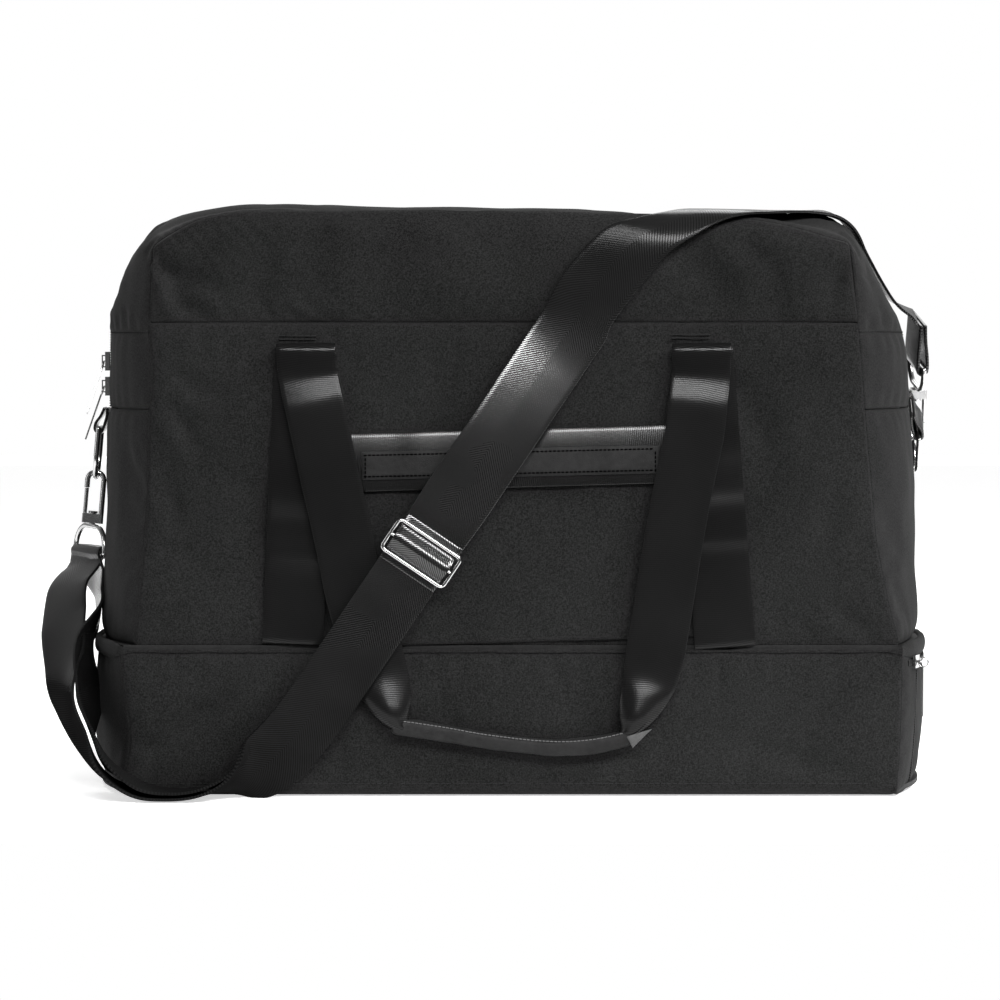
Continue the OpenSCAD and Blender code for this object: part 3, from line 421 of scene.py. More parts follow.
endLines = {  # height against distance from the middle, at mid depth and at the front seam
    "leftMid": [(94, 258.5), (106, 258.5), (120, 257.6), (141, 256), (180, 254.4), (244, 255), (288, 254.5)],
    "rightMid": [(94, 255.5), (100, 257), (106, 258), (141, 256.7), (193, 256), (244, 253.8), (270, 252),
                 (288, 250)],
    "leftFace": [(94, 233), (122, 230.4), (147, 228), (184, 224.6), (234, 224), (262, 221.5), (288, 223.5)],
    "rightFace": [(94, 241), (122, 233.6), (159, 226.4), (221, 220.8), (288, 215.5)],
    "baseLeftMid": [(2, 253), (8, 257.5), (16, 260.5), (25, 262.3), (37, 264), (51, 264.2), (88, 262.6)],
    "baseRightMid": [(2, 255), (10, 257.5), (32, 260), (51, 261.3), (88, 262.6)],
    "baseLeftFace": [(2, 238), (13, 239.5), (24, 237.6), (33, 236), (43, 236), (62, 238.3), (88, 241.6)],
    "baseRightFace": [(2, 239), (30, 241), (60, 242), (88, 242.4)]}
endTable = {key: np.array(rows).T * mm for key, rows in endLines.items()}


def tableX(key, z):
    return np.interp(z, endTable[key][0], endTable[key][1])


def bodyEnd(side, y, z):
    word = "left" if side < 0 else "right"
    mid, face = tableX(word + "Mid", z), tableX(word + "Face", z)
    return side * (mid + (face - mid) * (y / canvasLook["faceY"]) ** 2)


def baseEnd(side, y, z):
    word = "baseLeft" if side < 0 else "baseRight"
    mid, face = tableX(word + "Mid", z), tableX(word + "Face", z)
    return side * (mid + (face - mid) * (y / baseLook["wallY"]) ** 2)


midCurve = spline(np.array(midLine) * mm, 12)
faceCurve = spline(np.array(faceLine) * mm, 12)
knots = np.linspace(0, 1, len(midCurve))


def atKnot(curve, a):
    return np.stack([np.interp(a, knots, curve[:, 0]), np.interp(a, knots, curve[:, 1])], axis=1)


creases = [  # folds pressed into the front: two ends, half width and depth, in millimetres
    (-221, 26, -160, 78, 10, 5.5), (-196, 66, -158, 88, 9, 3.0), (-226, 342, -192, 294, 10, 5.0),
    (-222, 330, -178, 314, 8, 3.0), (-210, 244, -193, 214, 8, 3.5), (-217, 214, -208, 168, 13, 3.6),
    (-214, 262, -180, 250, 9, 2.2), (200, 118, 226, 98, 8, 3.0), (-206, 116, -232, 98, 8, 3.0),
    (150, 30, 214, 12, 12, 3.0), (-120, 60, -60, 84, 14, 2.2), (60, 20, 130, 44, 16, 2.4),
    (196, 300, 208, 338, 9, 3.0), (-205, 318, -176, 352, 10, 2.4), (130, 352, 168, 330, 12, 2.6),
    (196, 240, 172, 214, 10, 2.6), (206, 190, 190, 150, 12, 2.6), (-60, 330, 10, 344, 16, 1.8),
    (40, 130, 90, 152, 18, 2.0), (208, 70, 180, 40, 10, 3.0)]
creaseShare = 0.72  # how much of its listed half width a fold keeps


def creaseDepth(x, z):
    total = np.zeros(len(x))
    for x0, z0, x1, z1, broad, depth in creases:
        width = broad * creaseShare
        run = np.array([x1 - x0, z1 - z0]) * mm
        t = ((x - x0 * mm) * run[0] + (z - z0 * mm) * run[1]) / run.dot(run)
        away = (x - x0 * mm) * run[1] - (z - z0 * mm) * run[0]
        away = away / np.linalg.norm(run)
        fade = np.clip(1 - np.abs(t - 0.5) * 1.6, 0, 1) ** 0.7
        total += depth * mm * fade * (np.exp(-(away / (width * mm)) ** 2)
                                      - 0.5 * np.exp(-((away - 1.7 * width * mm) / (width * mm)) ** 2))
    return total


skins = []


def canvasPiece(name, shape, size, cadNodes, seams="lrbt", blendTo=None, puff=1.0, front=False, seed=1,
                cloth=True, inner=None):
    # size is (across, along) in metres; seams names the sewn edges: left, right, bottom, top in u and v
    look = canvasLook
    counts = [max(int(round(s / look["step"])), 3) for s in size]
    piece, u, v = gridSheet(name, shape, counts[0], counts[1], size, fromCentre)
    points, normals = readPoints(piece), readPoints(piece, "normal")
    gaps = {"l": u * size[0], "r": (1 - u) * size[0], "b": v * size[1], "t": (1 - v) * size[1]}
    fill = np.ones(len(u))
    pucker = np.zeros(len(u))
    for edge in seams:
        gap = gaps[edge]
        run = (v * size[1] if edge in "lr" else u * size[0])
        fill *= 1 - np.exp(-gap / look["seamWidth"])
        wave = np.sin(2 * math.pi * run / look["puckerGap"] + 4 * slowNoise(points, 0.05, seed + ord(edge)))
        pucker += look["pucker"] * wave * np.exp(-gap / look["puckerReach"]) * np.clip(gap / 0.002, 0, 1)
    offset = look["puff"] * puff * fill + pucker
    offset += look["slack"] * fill * (slowNoise(points, look["slackSize"], seed) * 1.6
                                      + slowNoise(points, look["slackSize"] * 0.45, seed + 5) * 0.7)
    if front:
        offset -= creaseDepth(points[:, 0], points[:, 2]) * fill
    writePoints(piece, points + normals * offset[:, None])
    edgeGap = np.minimum.reduce(list(gaps.values()))
    pins = piece.vertex_groups.new(name="sewnEdge")
    for index in np.where(edgeGap < look["step"] * 0.6)[0]:
        pins.add([int(index)], 1.0, "REPLACE")
    skins.append({"piece": piece, "nodes": cadNodes, "body": "bag", "blendTo": blendTo, "cloth": cloth,
                  "inner": inner or liningGrey})
    return piece


faceY = canvasLook["faceY"]


def panelShape(side):
    def shape(u, v):
        z = seamLines["panelFoot"] + (seamLines["panelTop"] - seamLines["panelFoot"]) * v
        left, right = -tableX("leftFace", z), tableX("rightFace", z)
        return np.stack([left + (right - left) * u, np.full(len(u), side * faceY), z], axis=1)
    return shape


for side, word, panel in ((-1, "front", "front_panel"), (1, "back", "back_panel")):
    canvasPiece(word + "PanelCanvas", panelShape(side), flatSizes["panel"], [panel], front=side < 0,
                seed=2 + side)


def yokeShape(side):
    top = slice(5 * 12, 23 * 12 + 1)
    topX, topZ = faceCurve[top, 0], faceCurve[top, 1]
    share = np.linspace(0, 1, len(topX))

    def shape(u, v):
        upX, upZ = np.interp(u, share, topX), np.interp(u, share, topZ)
        downX = -0.2233 + (0.2233 + 0.2151) * u
        x = downX + (upX - downX) * v
        z = seamLines["yokeFoot"] + (upZ - seamLines["yokeFoot"]) * v
        y = faceY - 0.006 * np.clip(v - 0.78, 0, 1) ** 2 / 0.0484
        return np.stack([x, side * y, z], axis=1)
    return shape


def boxingShape(side):
    # from the zip tape's edge out to the front face's outline
    near, far = seamLines["tapeEdge"], seamLines["boxingEdge"]

    def shape(u, v):
        depth = near + (far - near) * v
        bulge = (depth ** 2 - near ** 2) / (far ** 2 - near ** 2)
        place = atKnot(midCurve, u) * (1 - bulge[:, None]) + atKnot(faceCurve, u) * bulge[:, None]
        low = np.clip((0.345 - place[:, 1]) / 0.05, 0, 1)
        y = depth + low * (faceY - far) * v
        sink = 0.0045 * np.exp(-((v - 0.72) / 0.16) ** 2) * np.clip((place[:, 1] - 0.34) / 0.02, 0, 1)
        sink = sink * (0.6 + 0.8 * np.exp(-((place[:, 0] + 0.17) / 0.05) ** 2))
        return np.stack([place[:, 0], side * y, place[:, 1] - sink], axis=1)
    return shape


mouthField = {-1: ((0, -0.115, 0.296), (0, -0.1204, 0.3144)), 1: ((0, 0.115, 0.296), (0, 0.1204, 0.3144))}
for side, word in ((-1, "front"), (1, "rear")):
    canvasPiece(word + "YokeCanvas", yokeShape(side), flatSizes["yoke"], [word + "_yoke"], front=side < 0,
                blendTo=("mouth_" + word, mouthField[side]), seed=8 + side)
    canvasPiece(word + "BoxingCanvas", boxingShape(side), flatSizes["boxing"], [word + "_boxing"],
                blendTo=("mouth_" + word, mouthField[side]), seed=12 + side)


def endPatch(finder, side, y0, y1, z0, z1):
    def shape(u, v):
        y, z = y0 + (y1 - y0) * u, z0 + (z1 - z0) * v
        return np.stack([finder(side, y, z), y, z], axis=1)
    return shape


tapeEdge, boxingSpan = seamLines["tapeEdge"], (seamLines["boxingFoot"], seamLines["boxingTop"])
gussetSpan = (seamLines["gussetFoot"], seamLines["gussetTop"])
for side, word in ((-1, "left"), (1, "right")):
    canvasPiece(word + "GussetCanvas", endPatch(bodyEnd, side, -faceY, faceY, *gussetSpan),
                flatSizes["gusset"], [word + "_gusset"], seed=20 + side)
    canvasPiece(word + "BoxingFrontCanvas", endPatch(bodyEnd, side, -faceY, -tapeEdge, *boxingSpan),
                flatSizes["endBoxing"], [word + "_boxing"], seed=24 + side)
    canvasPiece(word + "BoxingRearCanvas", endPatch(bodyEnd, side, tapeEdge, faceY, *boxingSpan),
                flatSizes["endBoxing"], [], seed=28 + side)

wallY, doorEdge, flapHalf = baseLook["wallY"], baseLook["doorEdge"], baseLook["flapHalf"]
baseSpan, flapSpan = (baseLook["foot"], baseLook["endTop"]), (baseLook["flapFoot"], baseLook["flapTop"])


def wallShape(side):
    # the shoe compartment's long wall, its foot rounded in to the sole
    def shape(u, v):
        z = baseLook["foot"] + baseLook["wallTall"] * v
        left, right = -tableX("baseLeftFace", z), tableX("baseRightFace", z)
        y = wallY - 0.0045 * np.clip(1 - z / 0.008, 0, 1) ** 2
        return np.stack([left + (right - left) * u, side * y, z], axis=1)
    return shape


def soleShape(u, v):
    y = (v - 0.5) * 2 * baseLook["soleDeep"]
    x = (u - 0.5) * 2 * (baseLook["soleLong"] - 0.015 * (y / baseLook["soleDeep"]) ** 2)
    return np.stack([x, y, np.full(len(u), baseLook["soleZ"])], axis=1)


for side, word, wall in ((-1, "Front", "base_front"), (1, "Back", "base_back")):
    canvasPiece("base" + word + "Canvas", wallShape(side), flatSizes["baseWall"], [wall], front=side < 0,
                seed=32 + side)
canvasPiece("baseLeftEndCanvas", endPatch(baseEnd, -1, -wallY, wallY, *baseSpan), flatSizes["baseEnd"],
            ["base_left_end"], seed=37)
canvasPiece("baseRightFrontCanvas", endPatch(baseEnd, 1, -wallY, -doorEdge, *baseSpan),
            flatSizes["baseCorner"], ["base_right_surround"], seams="lbt", seed=38)
canvasPiece("baseRightRearCanvas", endPatch(baseEnd, 1, doorEdge, wallY, *baseSpan), flatSizes["baseCorner"],
            [], seams="rbt", seed=39)
canvasPiece("baseFlapCanvas", endPatch(baseEnd, 1, -flapHalf, flapHalf, *flapSpan), flatSizes["flap"],
            ["base_flap"], blendTo=("base_flap", ((0.262, 0, 0.003), (0.262, 0, 0.013))), seed=40)
sole = canvasPiece("baseSoleCanvas", soleShape, flatSizes["sole"], ["base_sole"], puff=0.9, seed=41,
                   cloth=False, inner=canvasBlack)
rested = readPoints(sole)
rested[:, 2] = np.maximum(rested[:, 2], baseLook["ground"])  # it lies flat on the ground
writePoints(sole, rested)
print("canvas shaped:", len(skins), "pieces")


def relaxCanvas():
    # each panel is held at its sewn edges and cut a little too large, so it settles into soft folds
    look = canvasLook
    before = {}
    for skin in skins:
        if not skin["cloth"]:
            continue
        piece = skin["piece"]
        before[piece.name] = (readPoints(piece), readPoints(piece, "normal"))
        cloth = piece.modifiers.new("softFolds", "CLOTH")
        cloth.settings.quality = 4
        cloth.settings.mass = 0.25
        cloth.settings.tension_stiffness = 20
        cloth.settings.compression_stiffness = 12
        cloth.settings.shear_stiffness = 8
        cloth.settings.bending_stiffness = 1.2
        cloth.settings.air_damping = 6
        cloth.settings.shrink_min = -look["clothSpare"]
        cloth.settings.use_pressure = True
        cloth.settings.uniform_pressure_force = 0.25
        cloth.settings.vertex_group_mass = "sewnEdge"
        cloth.settings.effector_weights.gravity = 0
        cloth.point_cache.frame_end = look["clothFrames"]
    for step in range(1, look["clothFrames"] + 1):
        scene.frame_set(step)
    for skin in skins:
        if not skin["cloth"]:
            continue
        piece = skin["piece"]
        pick(piece)
        bpy.ops.object.modifier_apply(modifier="softFolds")
        start, outward = before[piece.name]
        moved = readPoints(piece) - start
        # what lies on the canvas stays clear of it: folds sink in and hardly rise
        rise = (moved * outward).sum(1) - look["clothRise"]
        moved -= outward * np.clip(rise, 0, None)[:, None]
        length = np.linalg.norm(moved, axis=1, keepdims=True)
        writePoints(piece, start + moved * np.minimum(1, look["clothCap"] / np.maximum(length, 1e-9)))
    scene.frame_set(1)


relaxCanvas()
print("canvas folds settled")

for skin in skins:
    piece = skin["piece"]
    addModifier(piece, "SUBSURF", levels=1, render_levels=1)
    addModifier(piece, "SOLIDIFY", thickness=canvasLook["wall"], offset=-1, material_offset=1)
    piece.data.materials.append(canvasBlack)
    piece.data.materials.append(skin["inner"])
    bpy.ops.object.shade_smooth()
    if skin["nodes"]:
        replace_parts(piece, *skin["nodes"])
    if skin["blendTo"]:
        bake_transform(piece)
    else:
        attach(piece, skin["body"])
print("canvas finished")

webLook = {"wide": 0.038, "thick": 0.0017, "step": 0.004, "across": 12, "edge": 0.0004}


def webbing(name, rows, material, cadNodes, body, wide=webLook["wide"], blendTo=None, wave=0.0, cup=0.0,
            seed=1, smooth=10, step=webLook["step"], raw=False):
    # rows are x, y, z and the direction across, in millimetres, and optionally a width share and a cup
    data = np.array([list(row) + [1.0, 0.0][len(row) - 6:] for row in rows], float)
    data[:, :3] *= mm
    curve, length = evenly(spline(data, smooth), step)
    centre, side = curve[:, :3], curve[:, 3:6]
    run = np.gradient(centre, axis=0)
    run /= np.linalg.norm(run, axis=1, keepdims=True)
    if not raw:
        side = side - (side * run).sum(1, keepdims=True) * run
    side /= np.linalg.norm(side, axis=1, keepdims=True)
    face = np.cross(run, side)
    face /= np.linalg.norm(face, axis=1, keepdims=True)
    width = wide * curve[:, 6]
    steps = np.linspace(0, 1, len(centre))

    def shape(u, v):
        def at(values):
            return np.stack([np.interp(v, steps, values[:, k]) for k in range(3)], axis=1)
        half = np.interp(v, steps, width) * (u - 0.5)
        lift = (cup + np.interp(v, steps, curve[:, 7]) * mm) * (1 - (2 * u - 1) ** 2)
        if wave:
            spots = np.stack([v * length / 0.035, u * 0.8, np.full(len(u), seed)], axis=1)
            lift = lift + wave * slowNoise(spots, 1.0, seed)
        return at(centre) + at(side) * half[:, None] + at(face) * lift[:, None]

    piece, u, v = gridSheet(name, shape, webLook["across"], len(centre) - 1, (wide, length),
                            lambda p: Vector((0, 0, 0)))
    loops = np.empty(len(piece.data.loops), int)
    piece.data.loops.foreach_get("vertex_index", loops)
    metres = np.stack([v[loops] * length, u[loops] * wide], axis=1)
    piece.data.uv_layers[0].data.foreach_set("uv", metres.ravel())
    addModifier(piece, "SOLIDIFY", thickness=webLook["thick"], offset=0)
    addModifier(piece, "BEVEL", width=webLook["edge"], segments=2, limit_method="ANGLE", angle_limit=1.0)
    piece.data.materials.append(material)
    bpy.ops.object.shade_smooth()
    if cadNodes:
        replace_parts(piece, *cadNodes)
    hold(piece, body, blendTo)
    print(name, "length", round(length, 3))


handle = {"sewnY": 117.2, "wide": 0.0365, "fold": 280.4, "gripTall": 10.4, "gripThick": 9.5, "gripY": 126.2}
sewnEnds = {-1: (-134.7, -126.4), 1: (132.9, 118.2)}  # foot and top of the sewn-down webbing
sewnPuffs = {  # height, and how far the webbing bulges there
    -1: ((95, 0.2), (112, 0.8), (126, 2.0), (134, 2.4), (143, 1.5), (152, 0.3), (160, 1.4), (168, 2.6),
         (176, 1.8), (186, 0.5), (200, 0.3), (222, 0.9), (246, 0.4), (266, 0.5), (277, 0.1)),
    1: ((93, 0.2), (112, 0.9), (130, 1.2), (146, 2.2), (153, 1.9), (160, 0.5), (168, 1.2), (176, 2.2),
        (183, 1.5), (190, 0.3), (204, 0.9), (216, 0.2), (232, 0.8), (250, 0.3), (266, 0.5), (277, 0.1))}
legLines = {  # middle of each hanging leg: x, z, width share, cup
    -1: ((-125.6, 264.5), (-124.6, 259), (-123, 251), (-121, 243), (-116.9, 224.5), (-110.2, 193.4),
         (-102.8, 160.5), (-97.0, 131.2), (-92.2, 112.6), (-85.9, 94), (-80.6, 76, 0.96, 1.0),
         (-76.8, 63, 0.84, 3.5), (-73.6, 53, 0.62, 5.5), (-70.5, 46, 0.4, 4.5), (-66.5, 43, 0.3, 3.5)),
    1: ((117.9, 264.5), (117.6, 259), (116.8, 251), (115.8, 243), (113.5, 224.5), (108.8, 202),
        (104.6, 181), (98.6, 145.6), (93.2, 111), (89.5, 89.6), (86.6, 74, 0.92, 1.0),
        (83.2, 62.5, 0.82, 3.5), (78.6, 50.5, 0.64, 5.5), (76.0, 43.5, 0.42, 4.5), (72.5, 39.5, 0.3, 3.5))}
legOut = ((60, 75, 170, 235, 243, 252, 259, 264),  # heights, and how far from the middle the legs hang
          (126.2, 125.4, 123.6, 123.8, 123.4, 121.6, 119.9, 119.8))
gripLine = ((-74, 45.0), (-56, 42.6), (-37, 39.6), (-18, 36.2), (0, 33.8), (15, 32.2), (30, 31.4), (43, 31.9),
            (55, 33.4), (66, 35.8), (75, 38.0))


def sewnX(z, side=1):
    foot, top = sewnEnds[side]
    return foot + (top - foot) * (z - 95) / (281 - 95)


def turnRear(rows):
    return [(-row[0], -row[1], row[2], -row[3], -row[4], row[5]) + tuple(row[6:]) for row in rows]


for side, word in ((-1, "Left"), (1, "Right")):
    rows = [(sewnX(z, side), -handle["sewnY"] - 0.75 * puffed, z, 1, 0.02 * side, 0.05 * side)
            for z, puffed in sewnPuffs[side]]
    for first, laid, cadName, seed in (("sewn", rows, "front", 3), ("rearSewn", turnRear(rows), "rear", 5)):
        webbing(first + "Webbing" + word, laid, webbingSatin, ["sewn_webbing_" + cadName] if side < 0 else [],
                "bag", wave=0.0007, cup=-0.0005, seed=seed + side)


def legRows(side):
    # folded level at the top, leaning out from the fold, then hanging to the end of the grip
    line = legLines[side]
    top = sewnEnds[side][1]
    rows = [(top, -118.3, handle["fold"] - 2.6, 1, 0, 0), (top, -118.9, handle["fold"] - 0.4, 1, 0, 0),
            (top, -120.4, handle["fold"], 1, 0, 0), (top, -121.7, handle["fold"] - 2, 1, 0, 0),
            (top + side * -0.2, -121.5, handle["fold"] - 8, 1, 0, 0)]
    for index, spot in enumerate(line):
        x, z = spot[:2]
        ahead, behind = line[min(index + 1, len(line) - 1)], line[max(index - 1, 0)]
        lean = math.atan2(ahead[0] - behind[0], behind[1] - ahead[1]) if z > 70 else math.radians(-6 * side)
        level = min((280 - z) / 30, 1)
        y = -np.interp(z, *legOut)
        across = (math.cos(lean * level), 0, math.sin(lean * level))
        rows.append((x, y, z) + across + tuple(spot[2:]))
    return rows


gripCurve = spline(np.array(gripLine), 8)


def gripShape(side):
    # a wrapped, rounded bar that hangs lower in its middle; u goes round it and v along it
    def shape(u, v):
        around = 2 * math.pi * u
        share = np.linspace(0, 1, len(gripCurve))
        x, level = np.interp(v, share, gripCurve[:, 0]), np.interp(v, share, gripCurve[:, 1])
        ends = np.clip((1 - np.abs(2 * v - 1)) / 0.05, 0, 1) ** 0.5
        swell = 1 + 0.05 * np.sin(v * 9.0 + 1.0)
        cosine, sine = np.cos(around), np.sin(around)
        across = np.sign(cosine) * np.abs(cosine) ** 0.75 * handle["gripThick"] / 2 * swell
        tall = np.sign(sine) * np.abs(sine) ** 0.7 * handle["gripTall"] / 2 * swell
        across, tall = across * (0.8 + 0.2 * ends), tall * (0.72 + 0.28 * ends)
        return np.stack([side * x, side * (-handle["gripY"] + across), level + tall], axis=1) * mm
    return shape


def awayFromLine(side):
    def outward(p):
        level = np.interp(side * p.x / mm, gripCurve[:, 0], gripCurve[:, 1]) * mm
        return Vector((0, p.y + side * handle["gripY"] * mm, p.z - level))
    return outward


def flapShape(side):
    # the glossy end of the sleeve, tapering up behind the webbing
    high, low, tip = np.array([71.7, 38.6]), np.array([75.4, 31.7]), np.array([87.0, 43.4])

    def shape(u, v):
        upper, lower = high + (tip - high) * v[:, None], low + (tip - low) * v[:, None] * 0.97
        place = lower + (upper - lower) * u[:, None]
        y = -132.0 + (place[:, 1] - lower[:, 1]) * 0.2
        return np.stack([side * place[:, 0], side * y, place[:, 1]], axis=1) * mm
    return shape


for word, side in (("front", 1), ("rear", -1)):
    for legWord, legSide in (("Left", -1), ("Right", 1)):
        rows = legRows(legSide)
        webbing(word + "HandleLeg" + legWord, rows if side > 0 else turnRear(rows), webbingSatin,
                ["handle_" + word + "_webbing"] if legSide < 0 else [], "handle_" + word,
                wide=handle["wide"], wave=0.0006, cup=0.0004, seed=7 + legSide, raw=True, step=0.003)
    grip, u, v = gridSheet(word + "HandleGrip", gripShape(side), 36, 70, (0.034, 0.15), awayFromLine(side))
    wrinkle = slowNoise(readPoints(grip), 0.014, 4) * 0.0006
    writePoints(grip, readPoints(grip) + readPoints(grip, "normal") * wrinkle[:, None])
    editMesh(lambda: bpy.ops.mesh.remove_doubles(threshold=0.00005),
             lambda: bpy.ops.mesh.select_all(action="DESELECT"),
             bpy.ops.mesh.select_non_manifold, bpy.ops.mesh.edge_face_add)
    addModifier(grip, "SUBSURF", levels=1, render_levels=1)
    grip.data.materials.append(puBlack)
    flap, u, v = gridSheet(word + "HandleFlap", flapShape(side), 8, 14, (0.007, 0.016),
                           lambda p, side=side: Vector((0, -side, 0)))
    addModifier(flap, "SOLIDIFY", thickness=0.0009, offset=-1)
    flap.data.materials.append(puGloss)
    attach(flap, "handle_" + word)
    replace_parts(grip, "handle_" + word + "_grip")
    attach(grip, "handle_" + word)
print("handles ready")

pocket = {"foot": 96, "top": 228, "out": 116.6, "belly": 1.2, "hemTall": 0.036, "hemZ": 210, "tilt": -0.028,
          "patchTilt": -0.023, "patchLong": 184, "patchTall": 17.6, "patchZ": 207.4}


def pocketX(z):
    return sewnX(z) - 18


def pocketShape(u, v):
    z = pocket["foot"] + (pocket["top"] - pocket["foot"]) * v
    x = (2 * u - 1) * pocketX(z)
    belly = pocket["belly"] * (1 - (2 * u - 1) ** 2) * np.clip((z - pocket["foot"]) / 60, 0, 1)
    return np.stack([x, -(pocket["out"] + belly), z - pocket["tilt"] * x], axis=1) * mm


pocketPiece, u, v = gridSheet("pocketCanvas", pocketShape, 60, 36, (0.23, 0.132),
                              lambda p: Vector((0, -1, 0)))
points = readPoints(pocketPiece)
rim = np.clip(np.minimum.reduce([u, 1 - u, v]) * 9, 0, 1)
points[:, 1] -= rim * (0.0004 + 0.0011 * slowNoise(points, 0.05, 9) + 0.0006 * slowNoise(points, 0.02, 10))
points[:, 1] -= -creaseDepth(points[:, 0], points[:, 2]) * rim * 0.6
writePoints(pocketPiece, points)
addModifier(pocketPiece, "SUBSURF", levels=1, render_levels=1)
addModifier(pocketPiece, "SOLIDIFY", thickness=0.0012, offset=-1)
pocketPiece.data.materials.append(canvasBlack)
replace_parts(pocketPiece, "slip_pocket")
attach(pocketPiece, "bag")


def hemOut(x):
    return 118.3 + 1.2 * (1 - (x / 114) ** 2) + 0.45 * np.sin(x / 11.0) + 0.25 * np.sin(x / 4.7 + 1)


hemRows = [(x, -hemOut(x), pocket["hemZ"] - pocket["tilt"] * x, 0, 0.085, 1) for x in range(-110, 111, 5)]
webbing("pocketHem", hemRows, hemSatin, ["pocket_hem"], "bag", wide=pocket["hemTall"], wave=0.0004,
        cup=0.0011, seed=11)


def patchShape(u, v):
    x = (u - 0.5) * pocket["patchLong"]
    z = pocket["patchZ"] + (v - 0.5) * pocket["patchTall"] - pocket["patchTilt"] * x
    rim = np.clip(np.minimum.reduce([u * 60, (1 - u) * 60, v * 6, (1 - v) * 6]), 0, 1)
    out = hemOut(x) + 2.7 + 0.4 * rim - 0.06 * (z - 207 + pocket["patchTilt"] * x)
    return np.stack([x, -out, z], axis=1) * mm


patch, u, v = gridSheet("pocketPatch", patchShape, 120, 16, (0.184, 0.0176), lambda p: Vector((0, -1, 0)))
addModifier(patch, "SOLIDIFY", thickness=0.0012, offset=-1)
addModifier(patch, "BEVEL", width=0.0004, segments=2, limit_method="ANGLE", angle_limit=0.9)
patch.data.materials.append(puBlack)
bpy.ops.object.shade_smooth()
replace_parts(patch, "pocket_patch")
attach(patch, "bag")
print("pocket ready")

strap = {"wide": 0.040, "slope": 56.0, "barX": -55.0, "barZ": 152.0, "off": 14.6, "ringX": 262.2}
upX, upZ = math.cos(math.radians(strap["slope"])), math.sin(math.radians(strap["slope"]))


def onFront(up, off):
    return (strap["barX"] + up * upX, -115 - off, strap["barZ"] + up * upZ, upZ, 0, -upX)


def onCorner(x, y, z, angle, slant):
    a, s = math.radians(angle), math.radians(slant)
    return (x, y, z, math.sin(s) * math.sin(a), -math.cos(s), -math.sin(s) * math.cos(a))


mainRows = [(260.2, 12.3, 296.4, 0, -0.966, -0.259, 0.94), onCorner(254.6, 11.5, 300.6, 30, 13),
            onCorner(247, 9.5, 305.6, 38, 13), onCorner(241.6, 6.5, 312, 34, 14),
            onCorner(235.2, 3, 323.1, 30, 16), onCorner(228.2, -1, 335.1, 31, 18),
            onCorner(221.8, -6, 345.6, 34, 21), onCorner(216.6, -10.5, 354, 42, 24),
            onCorner(209.5, -16, 359.2, 58, 28), onCorner(200.5, -23, 361.8, 76, 32),
            (190, -33, 363.2, 0.62, -0.77, -0.05),
            (176, -50, 363.2, 0.72, -0.69, 0), (160, -70, 363, 0.8, -0.6, 0),
            (143, -89.5, 362.8, 0.87, -0.49, -0.04), (128.6, -101.5, 362.8, 0.91, -0.41, -0.06),
            (114.3, -112, 360, 0.97, -0.235, -0.09, 0.95),
            (97, -118.5, 353.6, 0.95, -0.14, -0.24, 0.92), (76, -121, 342.5, 0.87, -0.1, -0.46, 0.95),
            (49.7, -120.2, 311.2, 0.73, 0, -0.68), onFront(172, 3.6), onFront(158, 4.0), onFront(145, 5.6),
            onFront(130, 8.4), onFront(113, 11.6), onFront(96, 13.8), onFront(76, 14.8), onFront(38, 14.8),
            onFront(18, 14.8) + (0.97,), onFront(0, strap["off"]) + (0.942,)]
webbing("strapMain", mainRows, webbingBlack, ["strap_main"], "bag", wide=0.0425,
        blendTo=("mouth_front", mouthField[-1]), wave=0.0007, cup=0.0006, seed=15,
        raw=True)

eyeX, eyeZ = -269.5, 147.3
loopRows = [onFront(0, 14.6), onFront(-51, 15.5), onFront(-96, 16.4), (-131, -132.6, 41.5, 0.8, 0.06, -0.59),
            (-151, -134.6, 21.5, 0.72, 0.25, -0.65), (-170, -138.2, 10, 0.36, 0.9, -0.2),
            (-190, -140, 3.8, 0.12, 0.99, -0.02), (-212, -140, 1.9, 0, 1, 0),
            (-230, -139.4, 4.4, 0.1, 0.99, 0),
            (-246, -135, 13.5, 0.24, 0.95, -0.19), (-259, -121, 27, 0.12, 0.72, -0.65),
            (-271.5, -102, 45, -0.1, 0.78, -0.55), (-278, -78, 65, -0.35, 0.84, -0.15),
            (-281, -54, 84, -0.5, 0.82, 0.03), (-283.5, -33, 105, -0.6, 0.79, 0.06),
            (-282, -17, 125, -0.56, 0.83, 0),
            (eyeX - 3.5, -2.6, eyeZ - 8, -0.5, 0.866, 0), (eyeX - 2.7, -1.6, eyeZ, -0.5, 0.866, 0),
            (eyeX - 1.9, -1.1, eyeZ + 2.2, -0.5, 0.866, 0), (eyeX, 0, eyeZ + 3.1, -0.5, 0.866, 0),
            (eyeX + 1.9, 1.1, eyeZ + 2.2, -0.5, 0.866, 0), (eyeX + 2.7, 1.6, eyeZ, -0.5, 0.866, 0),
            (eyeX + 3, 0, eyeZ - 10, -0.42, 0.9, 0), (-262.5, -8, 125, -0.22, 0.97, 0),
            (-261.8, -21, 110, -0.05, 0.99, 0), (-265, -39, 95, 0, 0.98, -0.1),
            (-266, -58, 80, 0.28, 0.92, -0.25), (-265, -80, 63, 0.3, 0.85, -0.4),
            (-264, -102, 46.5, 0.15, 0.8, -0.52), (-254.5, -121, 30, 0.15, 0.75, -0.62),
            (-241, -134, 18, 0.24, 0.95, -0.19), (-227, -138.8, 8.4, 0.05, 0.99, 0),
            (-208, -139.4, 5.2, 0, 1, -0.02), (-189, -138.4, 7.2, 0.14, 0.99, -0.04),
            (-168.5, -136, 13.4, 0.36, 0.9, -0.2), (-149.5, -132.2, 23.6, 0.72, 0.25, -0.65),
            (-130, -130, 43, 0.8, 0.06, -0.59), onFront(-96, 14.0), onFront(-51, 13.4), onFront(-14, 12.6)]
